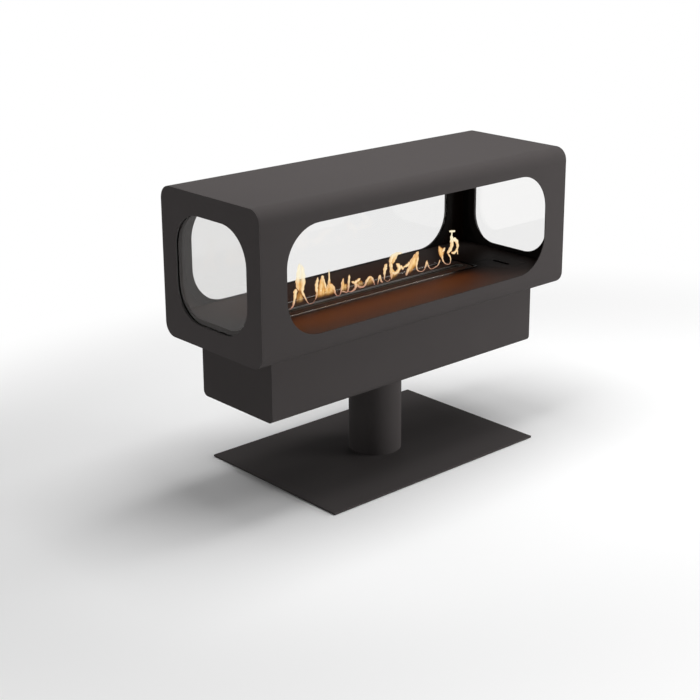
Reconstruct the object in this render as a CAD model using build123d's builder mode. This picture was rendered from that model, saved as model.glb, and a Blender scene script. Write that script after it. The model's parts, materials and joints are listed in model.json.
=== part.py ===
from build123d import *
import os

# ======================================================================== driving sizes, mm
# Fits
weld_gap = 0.1  # between sheets that are cut apart and welded together
screw_gap = 0.2  # all round a screw or a stud
sheet_gap = 0.5  # round a sheet that drops into its place
lid_gap = 1  # round the loose hatch in the deck
seat_gap = 0.3  # under a loose or sliding piece at rest
running_gap = 0.3  # round a piece that slides or turns in a plain hole
shaft_gap = 0.05  # round a shaft in its bearing
screw_end_gap = 1  # beyond a screw's end in a blind stack

# Fasteners, as shares of their thread's diameter
hexagon_share = 0.92  # corner radius of a bolt's head and of a nut
bolt_head_share = 0.64
nut_height_share = 0.8
socket_share = 0.35  # corner radius of the hexagon socket in a countersunk head
socket_depth_share = 0.3
countersink_angle = 90

# Base: a rubber underlay, a steel floor plate and a round column
underlay_thickness = 2
underlay_inset = 5
plate_length = 940
plate_width = 640
plate_thickness = 6
column_diameter = 185
column_wall = 5
column_height = 297
ring_thickness = 12
ring_bore_radius = 50
ring_bolt_circle_radius = 70
ring_bolt_count = 6
ring_bolt_size = 10

# Plinth: a folded trough of sheet with two welded ends
plinth_end_setback = 90  # from the hood's ends
plinth_setback = 70  # from the hood's front and back
plinth_height = 215
plinth_fold = 19
plinth_sheet = 3
plinth_flange = 25
spreader_length = 400
spreader_width = 260
spreader_thickness = 8
vent_count = 5
vent_length = 70
vent_width = 6
vent_pitch = 12

# Hood: a folded wrap of sheet with two end panels
hood_length = 1385
hood_depth = 500
hood_height = 500
hood_fold = 45
hood_sheet = 3
end_sheet = 4
edge_radius = 1
hood_bolt_size = 8
hood_bolt_inset = 42.5  # from the plinth's ends
hood_bolt_pitch = 370

# Windows: open at the front, glazed at the back and at both ends
window_sill = 72  # from the hood's underside up to the windows, and from them up to the roof
long_window_margin = 102.5
long_window_radius = 130
end_window_margin = 68
end_window_radius = 120

# Panes, each clamped by a sheet retainer on welded studs
gasket_thickness = 3
gasket_width = 10
glass_thickness = 6
glass_overlap = 15
retainer_sheet = 2
retainer_overlap = 27
retainer_side_cover = 3
retainer_sill_cover = 18
retainer_corner_loss = 15
stud_size = 5
stud_collar_radius = 4
stud_offset = 20
long_stud_inset = 140  # from the long window's ends
end_stud_inset = 132

# Brackets that hold the end panels to the wrap
bracket_leg = 30
bracket_width = 40
bracket_sheet = 3
bracket_inset = 130  # from the hood's front and back
bracket_stud_size = 6
bracket_stud_height = 17

# Heat shield under the roof
shield_end_gap = 43.5
shield_side_gap = 37
shield_sheet = 2
shield_drop = 23
shield_spacer_radius = 6
shield_screw_size = 5
shield_screw_end_inset = 85
shield_screw_side_inset = 50

# Deck and the rails under it
deck_sheet = 2
rail_sheet = 2
rail_end_gap = 8.5  # from the end brackets
rail_gap = 8  # from the back pane's retainer
rail_foot = 20
rail_top = 26
deck_screw_size = 4
deck_screw_inset = 20  # from the rails' ends

# Hatch in the deck, over the filler cap and the switches
hatch_length = 150
hatch_width = 130
hatch_right_shift = 6  # its middle, from the filler's axis
hatch_front_shift = 30
hatch_ledge = 8
hatch_rim = 10
hatch_lift = 120
finger_slot_length = 78
finger_slot_width = 16

# Burner: lip, top plate, trough and ceramic strip
lip_hatch_gap = 11  # between the lip's flange and the hatch's frame
lip_width = 120
lip_wall = 3
lip_rise = 3
lip_drop = 9
lip_ledge = 8
lip_flange = 10
slot_end_inset = 15
slot_width = 36
trough_width = 60
trough_depth = 42
trough_sheet = 2
trough_flange = 10
ceramic_height = 30
ceramic_left_gap = 42.5  # leaves room for the igniter and the probe
ceramic_right_gap = 2.5

# Burner casing, sunk through the hood's floor into the plinth
casing_end_gap = 17.5  # inside the plinth's length
casing_side_gap = 25  # from the plinth's top flanges
casing_floor_gap = 27  # over the plinth's floor
casing_sheet = 2
casing_flange = 15
casing_cutout_gap = 2

# Fuel tank, filler and level sensor
tank_left = 0
tank_end_gap = 8
tank_width = 180
tank_height = 100
tank_sheet = 2
filler_inset = 30  # from the tank's right end
filler_y = -50
neck_radius = 22
neck_wall = 3
cap_wall = 4
cap_height = 22
cap_top = 2
cap_headroom = 4
cap_grip_count = 24
cap_grip_radius = 1.2
sensor_inset = 150  # from the tank's left end
sensor_head_radius = 12
sensor_head_height = 8
sensor_stem_radius = 4
sensor_stop_radius = 7
sensor_stop_height = 2
float_radius = 16
float_height = 20
float_fillet = 3

# Fuel pump and pipes
pump_distance = 70  # from the tank
pump_base = 56
pump_base_thickness = 4
pump_base_radius = 5
pump_screw_inset = 6
pump_radius = 22
pump_height = 50
pump_nipple_radius = 5
pump_nipple_length = 8
pump_nipple_height = 15
pipe_radius = 4
pipe_wall = 1
pipe_bend = 20
pipe_offset = 60

# Glow igniter and temperature probe in the trough's end wall
igniter_y = -14
probe_y = 14
sleeve_radius = 6
sleeve_length = 14
igniter_radius = 3
probe_radius = 1.5
sensor_reach = 12
sensor_drop = 16

# Control board
board_distance = 200  # from the fan's axis
board_length = 170
board_width = 110
board_thickness = 1.6
standoff_height = 8
standoff_radius = 3.5
standoff_inset = 8
relay_size = (28, 16, 20)
relay_place = (42, 22)
relay_pitch = 24
relay_count = 3
capacitor_radius = 9
capacitor_height = 28
capacitor_place = (0, -14)
transformer_size = (44, 38, 34)
transformer_place = (-42, 22)
terminal_size = (80, 10, 12)
terminal_place = (-34, -37)

# Cooling fan
fan_end_gap = 43
fan_size = 80
fan_height = 25
fan_corner_radius = 4
fan_bore_radius = 38
fan_hub_radius = 16
fan_arm_count = 3
fan_arm_width = 6
fan_arm_height = 3
fan_arm_bite = 0.5
fan_pin_radius = 2
fan_pin_height = 12
fan_blade_count = 7
fan_blade_radius = 36.5
fan_blade_thickness = 1.5
fan_blade_pitch = 35
fan_rotor_height = 20
fan_screw_radius = 2.2
fan_screw_inset = 4.5

# Control panel under the hatch
panel_sheet = 1.5
panel_height = 32
panel_length = 118
panel_shift = -4  # its middle, from the filler's axis
button_shift = -33
switch_inset = 22.5  # from the panel's front edge
button_radius = 8
button_rise = 3
button_length = 14
button_travel = 2.5
bezel_radius = 13
bezel_rise = 2
bezel_wall = 1.7
switch_depth = 17
switch_floor = 3
rocker_shift = 27
rocker_length = 21
rocker_width = 14
rocker_end_rise = 5.5
rocker_middle_rise = 3.5
rocker_drop = 3
rocker_pin_radius = 1.5
rocker_pin_bite = 1.5
rocker_swing_room = 1
rocker_tilt = 7
rocker_frame_wall = 2
rocker_frame_lip = 2

# Power inlet in the plinth's rear wall
inlet_inset = 122.5  # from the plinth's left end
inlet_height = 70
inlet_width = 27
inlet_tall = 20
inlet_depth = 22
inlet_wall = 2
inlet_flange_width = 50
inlet_flange_tall = 26
inlet_flange_thickness = 2
inlet_flange_radius = 4
inlet_pin_width = 2
inlet_pin_tall = 5
inlet_pin_length = 14
inlet_pin_pitch = 7
inlet_pin_count = 3

# ======================================================================== levels
plate_top_z = underlay_thickness + plate_thickness
plinth_bottom_z = plate_top_z + column_height
plinth_floor_z = plinth_bottom_z + plinth_sheet
hood_bottom_z = plinth_bottom_z + plinth_height
hood_floor_z = hood_bottom_z + hood_sheet
hood_middle_z = hood_bottom_z + hood_height / 2
hood_ceiling_z = hood_bottom_z + hood_height - hood_sheet
deck_top_z = hood_bottom_z + window_sill
deck_bottom_z = deck_top_z - deck_sheet
casing_bottom_z = plinth_floor_z + casing_floor_gap
casing_floor_z = casing_bottom_z + casing_sheet
casing_flange_z = hood_floor_z + casing_sheet
casing_depth = casing_flange_z - casing_bottom_z
tank_top_z = casing_floor_z + tank_height
trough_bottom_z = deck_bottom_z - trough_depth
panel_top_z = casing_flange_z + panel_height
cap_top_z = deck_bottom_z - cap_headroom
neck_top_z = cap_top_z - cap_top - seat_gap
inlet_z = plinth_bottom_z + inlet_height

# ======================================================================== lengths and places
column_radius = column_diameter / 2
column_inner_radius = column_radius - column_wall
plinth_length = hood_length - 2 * plinth_end_setback
plinth_depth = hood_depth - 2 * plinth_setback
wrap_length = hood_length - 2 * end_sheet
window_height = hood_height - 2 * window_sill
long_window_length = hood_length - 2 * long_window_margin
end_window_length = hood_depth - 2 * end_window_margin
stack_depth = gasket_thickness + glass_thickness
long_stud_pitch = (long_window_length / 2 - long_stud_inset) / 2
long_stud_columns = [long_stud_pitch * step for step in (-2, -1, 0, 1, 2)]
end_stud_column = end_window_length / 2 - end_stud_inset
bracket_column = hood_depth / 2 - bracket_inset

hood_bolt_row = (plinth_depth - plinth_flange) / 2
hood_bolt_column = plinth_length / 2 - hood_bolt_inset
hood_bolt_columns = (
    -hood_bolt_column,
    hood_bolt_pitch - hood_bolt_column,
    hood_bolt_column - hood_bolt_pitch,
    hood_bolt_column,
)
hood_bolt_places = [(x, y) for x in hood_bolt_columns for y in (-hood_bolt_row, hood_bolt_row)]
inlet_x = inlet_inset - plinth_length / 2

casing_length = plinth_length - 2 * casing_end_gap
casing_width = plinth_depth - 2 * plinth_flange - 2 * casing_side_gap
tank_right = casing_length / 2 - casing_sheet - tank_end_gap
tank_length = tank_right - tank_left
tank_x = (tank_left + tank_right) / 2
sensor_x = tank_left + sensor_inset
pump_x = tank_left - pump_distance
fan_x = casing_sheet + fan_end_gap + fan_size / 2 - casing_length / 2
board_x = fan_x + board_distance
filler_x = tank_right - filler_inset
cap_radius = neck_radius + running_gap + cap_wall
panel_x = filler_x + panel_shift
panel_width = casing_width + casing_flange
button_x = filler_x + button_shift
rocker_x = filler_x + rocker_shift
switch_y = switch_inset - panel_width / 2
hatch_x = filler_x + hatch_right_shift
hatch_y = filler_y - hatch_front_shift

lip_length = 2 * (hatch_x - hatch_length / 2 - hatch_rim - lip_hatch_gap - lip_flange)
slot_length = lip_length - 2 * slot_end_inset
trough_length = slot_length + 2 * trough_sheet
ceramic_length = trough_length - 2 * trough_sheet - ceramic_left_gap - ceramic_right_gap
ceramic_x = (ceramic_left_gap - ceramic_right_gap) / 2

shield_length = wrap_length - 2 * shield_end_gap
shield_width = hood_depth - 2 * hood_sheet - 2 * shield_side_gap
shield_column = shield_length / 2 - shield_screw_end_inset
shield_row = shield_width / 2 - shield_screw_side_inset
shield_places = [(x, y) for x in (-shield_column, 0, shield_column) for y in (-shield_row, shield_row)]

deck_front_y = -(hood_depth / 2 - hood_sheet - sheet_gap)
deck_rear_y = hood_depth / 2 - hood_sheet - stack_depth - retainer_sheet - sheet_gap
deck_half_length = hood_length / 2 - end_sheet - stack_depth - retainer_sheet - sheet_gap
rail_length = wrap_length - 2 * (bracket_leg + rail_end_gap)
rail_row = deck_rear_y + sheet_gap - rail_gap - rail_top - rail_sheet
deck_screw_column = rail_length / 2 - deck_screw_inset
deck_screw_row = rail_row + rail_sheet + rail_top / 2
deck_screw_places = [
    (x, y) for x in (-deck_screw_column, 0, deck_screw_column) for y in (-deck_screw_row, deck_screw_row)
]


def countersunk_screw(size, length):
    """A countersunk screw about Z: its head is flush with z = 0 and its shank points down."""
    with BuildPart() as screw:
        with BuildSketch(Plane.XZ):
            with BuildLine():
                Polyline(
                    (0, 0), (size, 0), (size / 2, -size / 2), (size / 2, -length), (0, -length), (0, 0)
                )
            make_face()
        revolve(axis=Axis.Z)
        with BuildSketch():
            RegularPolygon(size * socket_share, 6)
        extrude(amount=-size * socket_depth_share, mode=Mode.SUBTRACT)
    return screw.part


def hex_bolt(size, length):
    """A hexagon bolt about Z: the head stands on z = 0 and the shank points down."""
    with BuildPart() as bolt:
        with BuildSketch():
            RegularPolygon(size * hexagon_share, 6)
        extrude(amount=size * bolt_head_share)
        with BuildSketch():
            Circle(size / 2)
        extrude(amount=-length)
    return bolt.part


def hex_nut(size):
    """A hexagon nut about Z that stands on z = 0, with room for its thread."""
    with BuildPart() as nut:
        with BuildSketch():
            RegularPolygon(size * hexagon_share, 6)
            Circle(size / 2 + screw_gap, mode=Mode.SUBTRACT)
        extrude(amount=size * nut_height_share)
    return nut.part


def wall_plane(side, depth):
    """The upright plane this deep inside a wall's outer face, at the window's centre, facing inwards."""
    if side == "back":
        return Plane(origin=(0, hood_depth / 2 - depth, hood_middle_z), x_dir=(1, 0, 0), z_dir=(0, -1, 0))
    sign = 1 if side == "right" else -1
    x = sign * (hood_length / 2 - depth)
    return Plane(origin=(x, 0, hood_middle_z), x_dir=(0, -sign, 0), z_dir=(-sign, 0, 0))


def wall_sheet(side):
    return hood_sheet if side == "back" else end_sheet


def window_size(side):
    """A window's length and corner radius."""
    if side in ("left", "right"):
        return end_window_length, end_window_radius
    return long_window_length, long_window_radius


def window_outline(side, depth, margin=0):
    """A window's outline on its wall's plane, made larger by the margin all round."""
    length, radius = window_size(side)
    with BuildSketch(wall_plane(side, depth)) as outline:
        RectangleRounded(length + 2 * margin, window_height + 2 * margin, radius + margin)
    return outline.sketch


def stud_places(side, depth):
    """Where a pane's clamping studs stand at this depth, each pointing into the hood."""
    columns = long_stud_columns if side == "back" else (-end_stud_column, end_stud_column)
    row = window_height / 2 + stud_offset
    origin = wall_plane(side, depth).location
    return [origin * Location((column, sign * row, 0)) for column in columns for sign in (-1, 1)]


def welded_studs(side):
    """A pane's studs, welded on the wall's inner face: a collar as thick as the pane, then the thread."""
    with BuildPart() as studs:
        with Locations(*stud_places(side, wall_sheet(side))):
            Cylinder(stud_collar_radius, stack_depth, align=(Align.CENTER, Align.CENTER, Align.MIN))
            Cylinder(
                stud_size / 2,
                stack_depth + retainer_sheet + stud_size,
                align=(Align.CENTER, Align.CENTER, Align.MIN),
            )
    return studs.part


def bracket_stud_places(side, depth):
    """Where the end panel's own studs stand, level with the bracket legs."""
    row = hood_height / 2 - hood_sheet - bracket_stud_height
    origin = wall_plane(side, depth).location
    columns = (-bracket_column, bracket_column)
    return [origin * Location((column, sign * row, 0)) for column in columns for sign in (-1, 1)]


def plinth_hollow(plane, gap=0):
    """The plinth's inside in cross-section, up through the opening between its top flanges."""
    inner_depth = plinth_depth - 2 * plinth_sheet
    inner_height = plinth_height - 2 * plinth_sheet
    with BuildSketch(plane) as hollow:
        with Locations((0, plinth_floor_z + gap)):
            Rectangle(inner_depth - 2 * gap, inner_height - 2 * gap, align=(Align.CENTER, Align.MIN))
        fillet(hollow.vertices().group_by(Axis.Y)[0], plinth_fold - plinth_sheet)
        with Locations((0, plinth_floor_z + inner_height / 2)):
            Rectangle(
                plinth_depth - 2 * plinth_flange - 2 * gap,
                inner_height / 2 + plinth_sheet - gap,
                align=(Align.CENTER, Align.MIN),
            )
    return hollow.sketch


os.makedirs("parts", exist_ok=True)

# ======================================================================== base
with BuildPart() as base_underlay:
    with BuildSketch():
        Rectangle(plate_length - 2 * underlay_inset, plate_width - 2 * underlay_inset)
    extrude(amount=underlay_thickness)
base_underlay.part.label = "base_underlay"
export_step(base_underlay.part, "parts/base_underlay.step")

with BuildPart() as floor_plate:
    with BuildSketch(Plane.XY.offset(underlay_thickness)):
        Rectangle(plate_length, plate_width)
    extrude(amount=plate_thickness)
    chamfer(floor_plate.edges().group_by(Axis.Z)[-1], edge_radius / 2)
    with Locations(Location((0, 0, underlay_thickness), (180, 0, 0))):
        with PolarLocations(ring_bolt_circle_radius, ring_bolt_count):
            CounterSinkHole(
                ring_bolt_size / 2 + screw_gap,
                ring_bolt_size + screw_gap,
                plate_thickness,
                counter_sink_angle=countersink_angle,
            )
floor_plate.part.label = "floor_plate"
export_step(floor_plate.part, "parts/floor_plate.step")

base_screw = countersunk_screw(ring_bolt_size, plate_thickness + ring_thickness - screw_end_gap)
with BuildPart() as base_screws:
    with Locations(Location((0, 0, underlay_thickness), (180, 0, 0))):
        with PolarLocations(ring_bolt_circle_radius, ring_bolt_count):
            add(base_screw)
base_screws.part.label = "base_screws"
export_step(base_screws.part, "parts/base_screws.step")

with BuildPart() as column_tube:
    with BuildSketch(Plane.XY.offset(plate_top_z)):
        Circle(column_radius)
        Circle(column_inner_radius, mode=Mode.SUBTRACT)
    extrude(amount=column_height)
column_tube.part.label = "column_tube"
export_step(column_tube.part, "parts/column_tube.step")

ring_levels = {
    "column_base_ring": plate_top_z,
    "column_top_ring": plinth_bottom_z - ring_thickness,
}
for ring_name, ring_z in ring_levels.items():
    with BuildPart() as column_ring:
        with BuildSketch(Plane.XY.offset(ring_z)):
            Circle(column_inner_radius - weld_gap)
            Circle(ring_bore_radius, mode=Mode.SUBTRACT)
            with PolarLocations(ring_bolt_circle_radius, ring_bolt_count):
                Circle(ring_bolt_size / 2 + screw_gap, mode=Mode.SUBTRACT)
        extrude(amount=ring_thickness)
    column_ring.part.label = ring_name
    export_step(column_ring.part, f"parts/{ring_name}.step")

with BuildPart() as load_spreader:
    with BuildSketch(Plane.XY.offset(plinth_floor_z)):
        Rectangle(spreader_length, spreader_width)
        Circle(ring_bore_radius, mode=Mode.SUBTRACT)
        with PolarLocations(ring_bolt_circle_radius, ring_bolt_count):
            Circle(ring_bolt_size / 2 + screw_gap, mode=Mode.SUBTRACT)
    extrude(amount=spreader_thickness)
load_spreader.part.label = "load_spreader"
export_step(load_spreader.part, "parts/load_spreader.step")

column_bolt = hex_bolt(ring_bolt_size, spreader_thickness + plinth_sheet + ring_thickness - screw_end_gap)
with BuildPart() as column_bolts:
    with Locations((0, 0, plinth_floor_z + spreader_thickness)):
        with PolarLocations(ring_bolt_circle_radius, ring_bolt_count):
            add(column_bolt)
column_bolts.part.label = "column_bolts"
export_step(column_bolts.part, "parts/column_bolts.step")

# ======================================================================== plinth
with BuildPart() as plinth_shell:
    with BuildSketch(Plane.YZ.offset(-plinth_length / 2)) as plinth_section:
        with Locations((0, plinth_bottom_z)):
            Rectangle(plinth_depth, plinth_height, align=(Align.CENTER, Align.MIN))
        fillet(plinth_section.vertices().group_by(Axis.Y)[0], plinth_fold)
    extrude(amount=plinth_length)
    extrude(plinth_hollow(Plane.YZ.offset(-plinth_length / 2)), amount=plinth_length, mode=Mode.SUBTRACT)
    # the column's bolts and its open middle
    with BuildSketch(Plane.XY.offset(plinth_bottom_z)):
        Circle(ring_bore_radius)
        with PolarLocations(ring_bolt_circle_radius, ring_bolt_count):
            Circle(ring_bolt_size / 2 + screw_gap)
        with Locations((fan_x, 0)):
            with GridLocations(vent_pitch, 0, vent_count, 1):
                SlotOverall(vent_length, vent_width, rotation=90)
    extrude(amount=plinth_sheet, mode=Mode.SUBTRACT)
    # the hood's bolts through the top flanges
    with BuildSketch(Plane.XY.offset(hood_bottom_z)):
        with Locations(*hood_bolt_places):
            Circle(hood_bolt_size / 2 + screw_gap)
    extrude(amount=-plinth_sheet, mode=Mode.SUBTRACT)
    # the power inlet in the rear wall
    with BuildSketch(Plane.XZ.offset(-plinth_depth / 2)):
        with Locations((inlet_x, inlet_z)):
            Rectangle(inlet_width + 2 * weld_gap, inlet_tall + 2 * weld_gap)
    extrude(amount=plinth_sheet, mode=Mode.SUBTRACT)
plinth_shell.part.label = "plinth_shell"
export_step(plinth_shell.part, "parts/plinth_shell.step")

for side, plinth_end_x in (("left", -plinth_length / 2), ("right", plinth_length / 2 - plinth_sheet)):
    with BuildPart() as plinth_end:
        extrude(plinth_hollow(Plane.YZ.offset(plinth_end_x), weld_gap), amount=plinth_sheet)
    plinth_end.part.label = f"plinth_end_{side}"
    export_step(plinth_end.part, f"parts/plinth_end_{side}.step")

with BuildPart() as power_inlet:
    with BuildSketch(Plane.XZ.offset(-plinth_depth / 2)):
        with Locations((inlet_x, inlet_z)):
            RectangleRounded(inlet_flange_width, inlet_flange_tall, inlet_flange_radius)
    extrude(amount=-inlet_flange_thickness)
    with BuildSketch(Plane.XZ.offset(-plinth_depth / 2)):
        with Locations((inlet_x, inlet_z)):
            Rectangle(inlet_width, inlet_tall)
    extrude(amount=inlet_depth)
    with BuildSketch(Plane.XZ.offset(-plinth_depth / 2 - inlet_flange_thickness)):
        with Locations((inlet_x, inlet_z)):
            Rectangle(inlet_width - 2 * inlet_wall, inlet_tall - 2 * inlet_wall)
    extrude(amount=inlet_depth + inlet_flange_thickness - inlet_wall, mode=Mode.SUBTRACT)
    with BuildSketch(Plane.XZ.offset(inlet_depth - inlet_wall - plinth_depth / 2)):
        with Locations((inlet_x, inlet_z)):
            with GridLocations(inlet_pin_pitch, 0, inlet_pin_count, 1):
                Rectangle(inlet_pin_width, inlet_pin_tall)
    extrude(amount=-inlet_pin_length)
power_inlet.part.label = "power_inlet"
export_step(power_inlet.part, "parts/power_inlet.step")

hood_bolt = hex_bolt(hood_bolt_size, hood_sheet + plinth_sheet + hood_bolt_size)
with BuildPart() as hood_bolts:
    with Locations(*[(x, y, hood_floor_z) for x, y in hood_bolt_places]):
        add(hood_bolt)
hood_bolts.part.label = "hood_bolts"
export_step(hood_bolts.part, "parts/hood_bolts.step")

hood_nut = hex_nut(hood_bolt_size)
hood_nut_z = hood_bottom_z - plinth_sheet
with BuildPart() as hood_nuts:
    with Locations(*[Location((x, y, hood_nut_z), (180, 0, 0)) for x, y in hood_bolt_places]):
        add(hood_nut)
hood_nuts.part.label = "hood_nuts"
export_step(hood_nuts.part, "parts/hood_nuts.step")

# ======================================================================== hood shell
with BuildPart() as hood_wrap:
    with BuildSketch(Plane(origin=(-wrap_length / 2, 0, hood_middle_z), x_dir=(0, 1, 0), z_dir=(1, 0, 0))):
        RectangleRounded(hood_depth, hood_height, hood_fold)
        RectangleRounded(
            hood_depth - 2 * hood_sheet,
            hood_height - 2 * hood_sheet,
            hood_fold - hood_sheet,
            mode=Mode.SUBTRACT,
        )
    extrude(amount=wrap_length)
    # one window cut through the front and the back
    extrude(window_outline("back", 0), amount=hood_depth, mode=Mode.SUBTRACT)
    # the casing's cut-out and the bolt holes in the floor
    with BuildSketch(Plane.XY.offset(hood_bottom_z)):
        Rectangle(casing_length + 2 * casing_cutout_gap, casing_width + 2 * casing_cutout_gap)
        with Locations(*hood_bolt_places):
            Circle(hood_bolt_size / 2 + screw_gap)
    extrude(amount=hood_sheet, mode=Mode.SUBTRACT)
    add(welded_studs("back"))
hood_wrap.part.label = "hood_wrap"
export_step(hood_wrap.part, "parts/hood_wrap.step")

for side in ("left", "right"):
    with BuildPart() as end_panel:
        with BuildSketch(wall_plane(side, 0)):
            RectangleRounded(hood_depth, hood_height, hood_fold)
        extrude(amount=end_sheet)
        extrude(window_outline(side, 0), amount=end_sheet, mode=Mode.SUBTRACT)
        outer_edges = end_panel.edges().group_by(Axis.X)[0 if side == "left" else -1]
        fillet(outer_edges, edge_radius)
        add(welded_studs(side))
        with Locations(*bracket_stud_places(side, end_sheet)):
            Cylinder(
                bracket_stud_size / 2,
                bracket_sheet + bracket_stud_size,
                align=(Align.CENTER, Align.CENTER, Align.MIN),
            )
    end_panel.part.label = f"end_panel_{side}"
    export_step(end_panel.part, f"parts/end_panel_{side}.step")

# each bracket is drawn in its own corner: the upright leg lies on the end panel, the foot on the wrap
with BuildPart() as end_brackets:
    for side in ("left", "right"):
        inner_face = wall_plane(side, end_sheet)
        for column in (-bracket_column, bracket_column):
            for row_sign in (-1, 1):
                edge_row = row_sign * (hood_height / 2 - hood_sheet)
                with Locations(inner_face.location * Location((column, edge_row, 0))):
                    leg_align = Align.MIN if row_sign < 0 else Align.MAX
                    Box(bracket_width, bracket_leg, bracket_sheet, align=(Align.CENTER, leg_align, Align.MIN))
                    Box(bracket_width, bracket_sheet, bracket_leg, align=(Align.CENTER, leg_align, Align.MIN))
        with Locations(*bracket_stud_places(side, end_sheet)):
            Cylinder(
                bracket_stud_size / 2 + screw_gap,
                bracket_sheet,
                align=(Align.CENTER, Align.CENTER, Align.MIN),
                mode=Mode.SUBTRACT,
            )
end_brackets.part.label = "end_brackets"
export_step(end_brackets.part, "parts/end_brackets.step")

bracket_nut = hex_nut(bracket_stud_size)
with BuildPart() as end_nuts:
    for side in ("left", "right"):
        with Locations(*bracket_stud_places(side, end_sheet + bracket_sheet)):
            add(bracket_nut)
end_nuts.part.label = "end_nuts"
export_step(end_nuts.part, "parts/end_nuts.step")

# ======================================================================== panes
for side in ("back", "left", "right"):
    gasket_depth = wall_sheet(side)
    glass_depth = gasket_depth + gasket_thickness
    retainer_depth = glass_depth + glass_thickness

    with BuildPart() as gasket:
        extrude(window_outline(side, gasket_depth, gasket_width), amount=gasket_thickness)
        extrude(window_outline(side, gasket_depth), amount=gasket_thickness, mode=Mode.SUBTRACT)
    gasket.part.label = f"{side}_gasket"
    export_step(gasket.part, f"parts/{side}_gasket.step")

    with BuildPart() as glass:
        extrude(window_outline(side, glass_depth, glass_overlap), amount=glass_thickness)
    glass.part.label = f"{side}_glass"
    export_step(glass.part, f"parts/{side}_glass.step")

    side_cover = 0 if side == "back" else retainer_side_cover
    sill_cover = 0 if side == "back" else retainer_sill_cover
    corner_loss = 0 if side == "back" else retainer_corner_loss
    opening_length, opening_radius = window_size(side)
    with BuildPart() as retainer:
        extrude(window_outline(side, retainer_depth, retainer_overlap), amount=retainer_sheet)
        with BuildSketch(wall_plane(side, retainer_depth)):
            with Locations((0, sill_cover / 2)):
                RectangleRounded(
                    opening_length - 2 * side_cover, window_height - sill_cover, opening_radius - corner_loss
                )
        extrude(amount=retainer_sheet, mode=Mode.SUBTRACT)
        with Locations(*stud_places(side, retainer_depth)):
            Cylinder(
                stud_size / 2 + screw_gap,
                retainer_sheet,
                align=(Align.CENTER, Align.CENTER, Align.MIN),
                mode=Mode.SUBTRACT,
            )
    retainer.part.label = f"{side}_retainer"
    export_step(retainer.part, f"parts/{side}_retainer.step")

retainer_nut = hex_nut(stud_size)
with BuildPart() as retainer_nuts:
    for side in ("back", "left", "right"):
        with Locations(*stud_places(side, wall_sheet(side) + stack_depth + retainer_sheet)):
            add(retainer_nut)
retainer_nuts.part.label = "retainer_nuts"
export_step(retainer_nuts.part, "parts/retainer_nuts.step")

# ======================================================================== heat shield
shield_bottom_z = hood_ceiling_z - shield_drop - shield_sheet
with BuildPart() as heat_shield:
    with BuildSketch(Plane.XY.offset(shield_bottom_z)):
        Rectangle(shield_length, shield_width)
        with Locations(*shield_places):
            Circle(shield_screw_size / 2 + screw_gap, mode=Mode.SUBTRACT)
    extrude(amount=shield_sheet)
heat_shield.part.label = "heat_shield"
export_step(heat_shield.part, "parts/heat_shield.step")

with BuildPart() as shield_spacers:
    with BuildSketch(Plane.XY.offset(shield_bottom_z + shield_sheet)):
        with Locations(*shield_places):
            Circle(shield_spacer_radius)
            Circle(shield_screw_size / 2 + screw_gap, mode=Mode.SUBTRACT)
    extrude(amount=shield_drop)
shield_spacers.part.label = "shield_spacers"
export_step(shield_spacers.part, "parts/shield_spacers.step")

shield_screw = hex_bolt(shield_screw_size, shield_sheet + shield_drop - screw_end_gap)
with BuildPart() as shield_screws:
    with Locations(*[Location((x, y, shield_bottom_z), (180, 0, 0)) for x, y in shield_places]):
        add(shield_screw)
shield_screws.part.label = "shield_screws"
export_step(shield_screws.part, "parts/shield_screws.step")

# ======================================================================== deck
with BuildPart() as deck_rails:
    for row_sign in (-1, 1):
        with BuildSketch(Plane.YZ.offset(-rail_length / 2)):
            with BuildLine():
                Polyline(
                    (row_sign * (rail_row - rail_foot), hood_floor_z),
                    (row_sign * (rail_row + rail_sheet), hood_floor_z),
                    (row_sign * (rail_row + rail_sheet), deck_bottom_z - rail_sheet),
                    (row_sign * (rail_row + rail_sheet + rail_top), deck_bottom_z - rail_sheet),
                    (row_sign * (rail_row + rail_sheet + rail_top), deck_bottom_z),
                    (row_sign * rail_row, deck_bottom_z),
                    (row_sign * rail_row, hood_floor_z + rail_sheet),
                    (row_sign * (rail_row - rail_foot), hood_floor_z + rail_sheet),
                    close=True,
                )
            make_face()
        extrude(amount=rail_length)
    with BuildSketch(Plane.XY.offset(deck_bottom_z)):
        with Locations(*deck_screw_places):
            Circle(deck_screw_size / 2 + screw_gap)
    extrude(amount=-rail_sheet, mode=Mode.SUBTRACT)
deck_rails.part.label = "deck_rails"
export_step(deck_rails.part, "parts/deck_rails.step")

with BuildPart() as deck:
    with BuildSketch(Plane.XY.offset(deck_bottom_z)):
        with Locations((0, (deck_front_y + deck_rear_y) / 2)):
            Rectangle(2 * deck_half_length, deck_rear_y - deck_front_y)
        Rectangle(lip_length + 2 * sheet_gap, lip_width + 2 * sheet_gap, mode=Mode.SUBTRACT)
        with Locations((hatch_x, hatch_y)):
            Rectangle(hatch_length + 2 * lid_gap, hatch_width + 2 * lid_gap, mode=Mode.SUBTRACT)
    extrude(amount=deck_sheet)
    with Locations(*[(x, y, deck_top_z) for x, y in deck_screw_places]):
        CounterSinkHole(
            deck_screw_size / 2 + screw_gap,
            deck_screw_size + screw_gap,
            deck_sheet,
            counter_sink_angle=countersink_angle,
        )
deck.part.label = "deck"
export_step(deck.part, "parts/deck.step")

deck_screw = countersunk_screw(deck_screw_size, deck_sheet + rail_sheet + deck_screw_size)
with BuildPart() as deck_screws:
    with Locations(*[(x, y, deck_top_z) for x, y in deck_screw_places]):
        add(deck_screw)
deck_screws.part.label = "deck_screws"
export_step(deck_screws.part, "parts/deck_screws.step")

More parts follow.
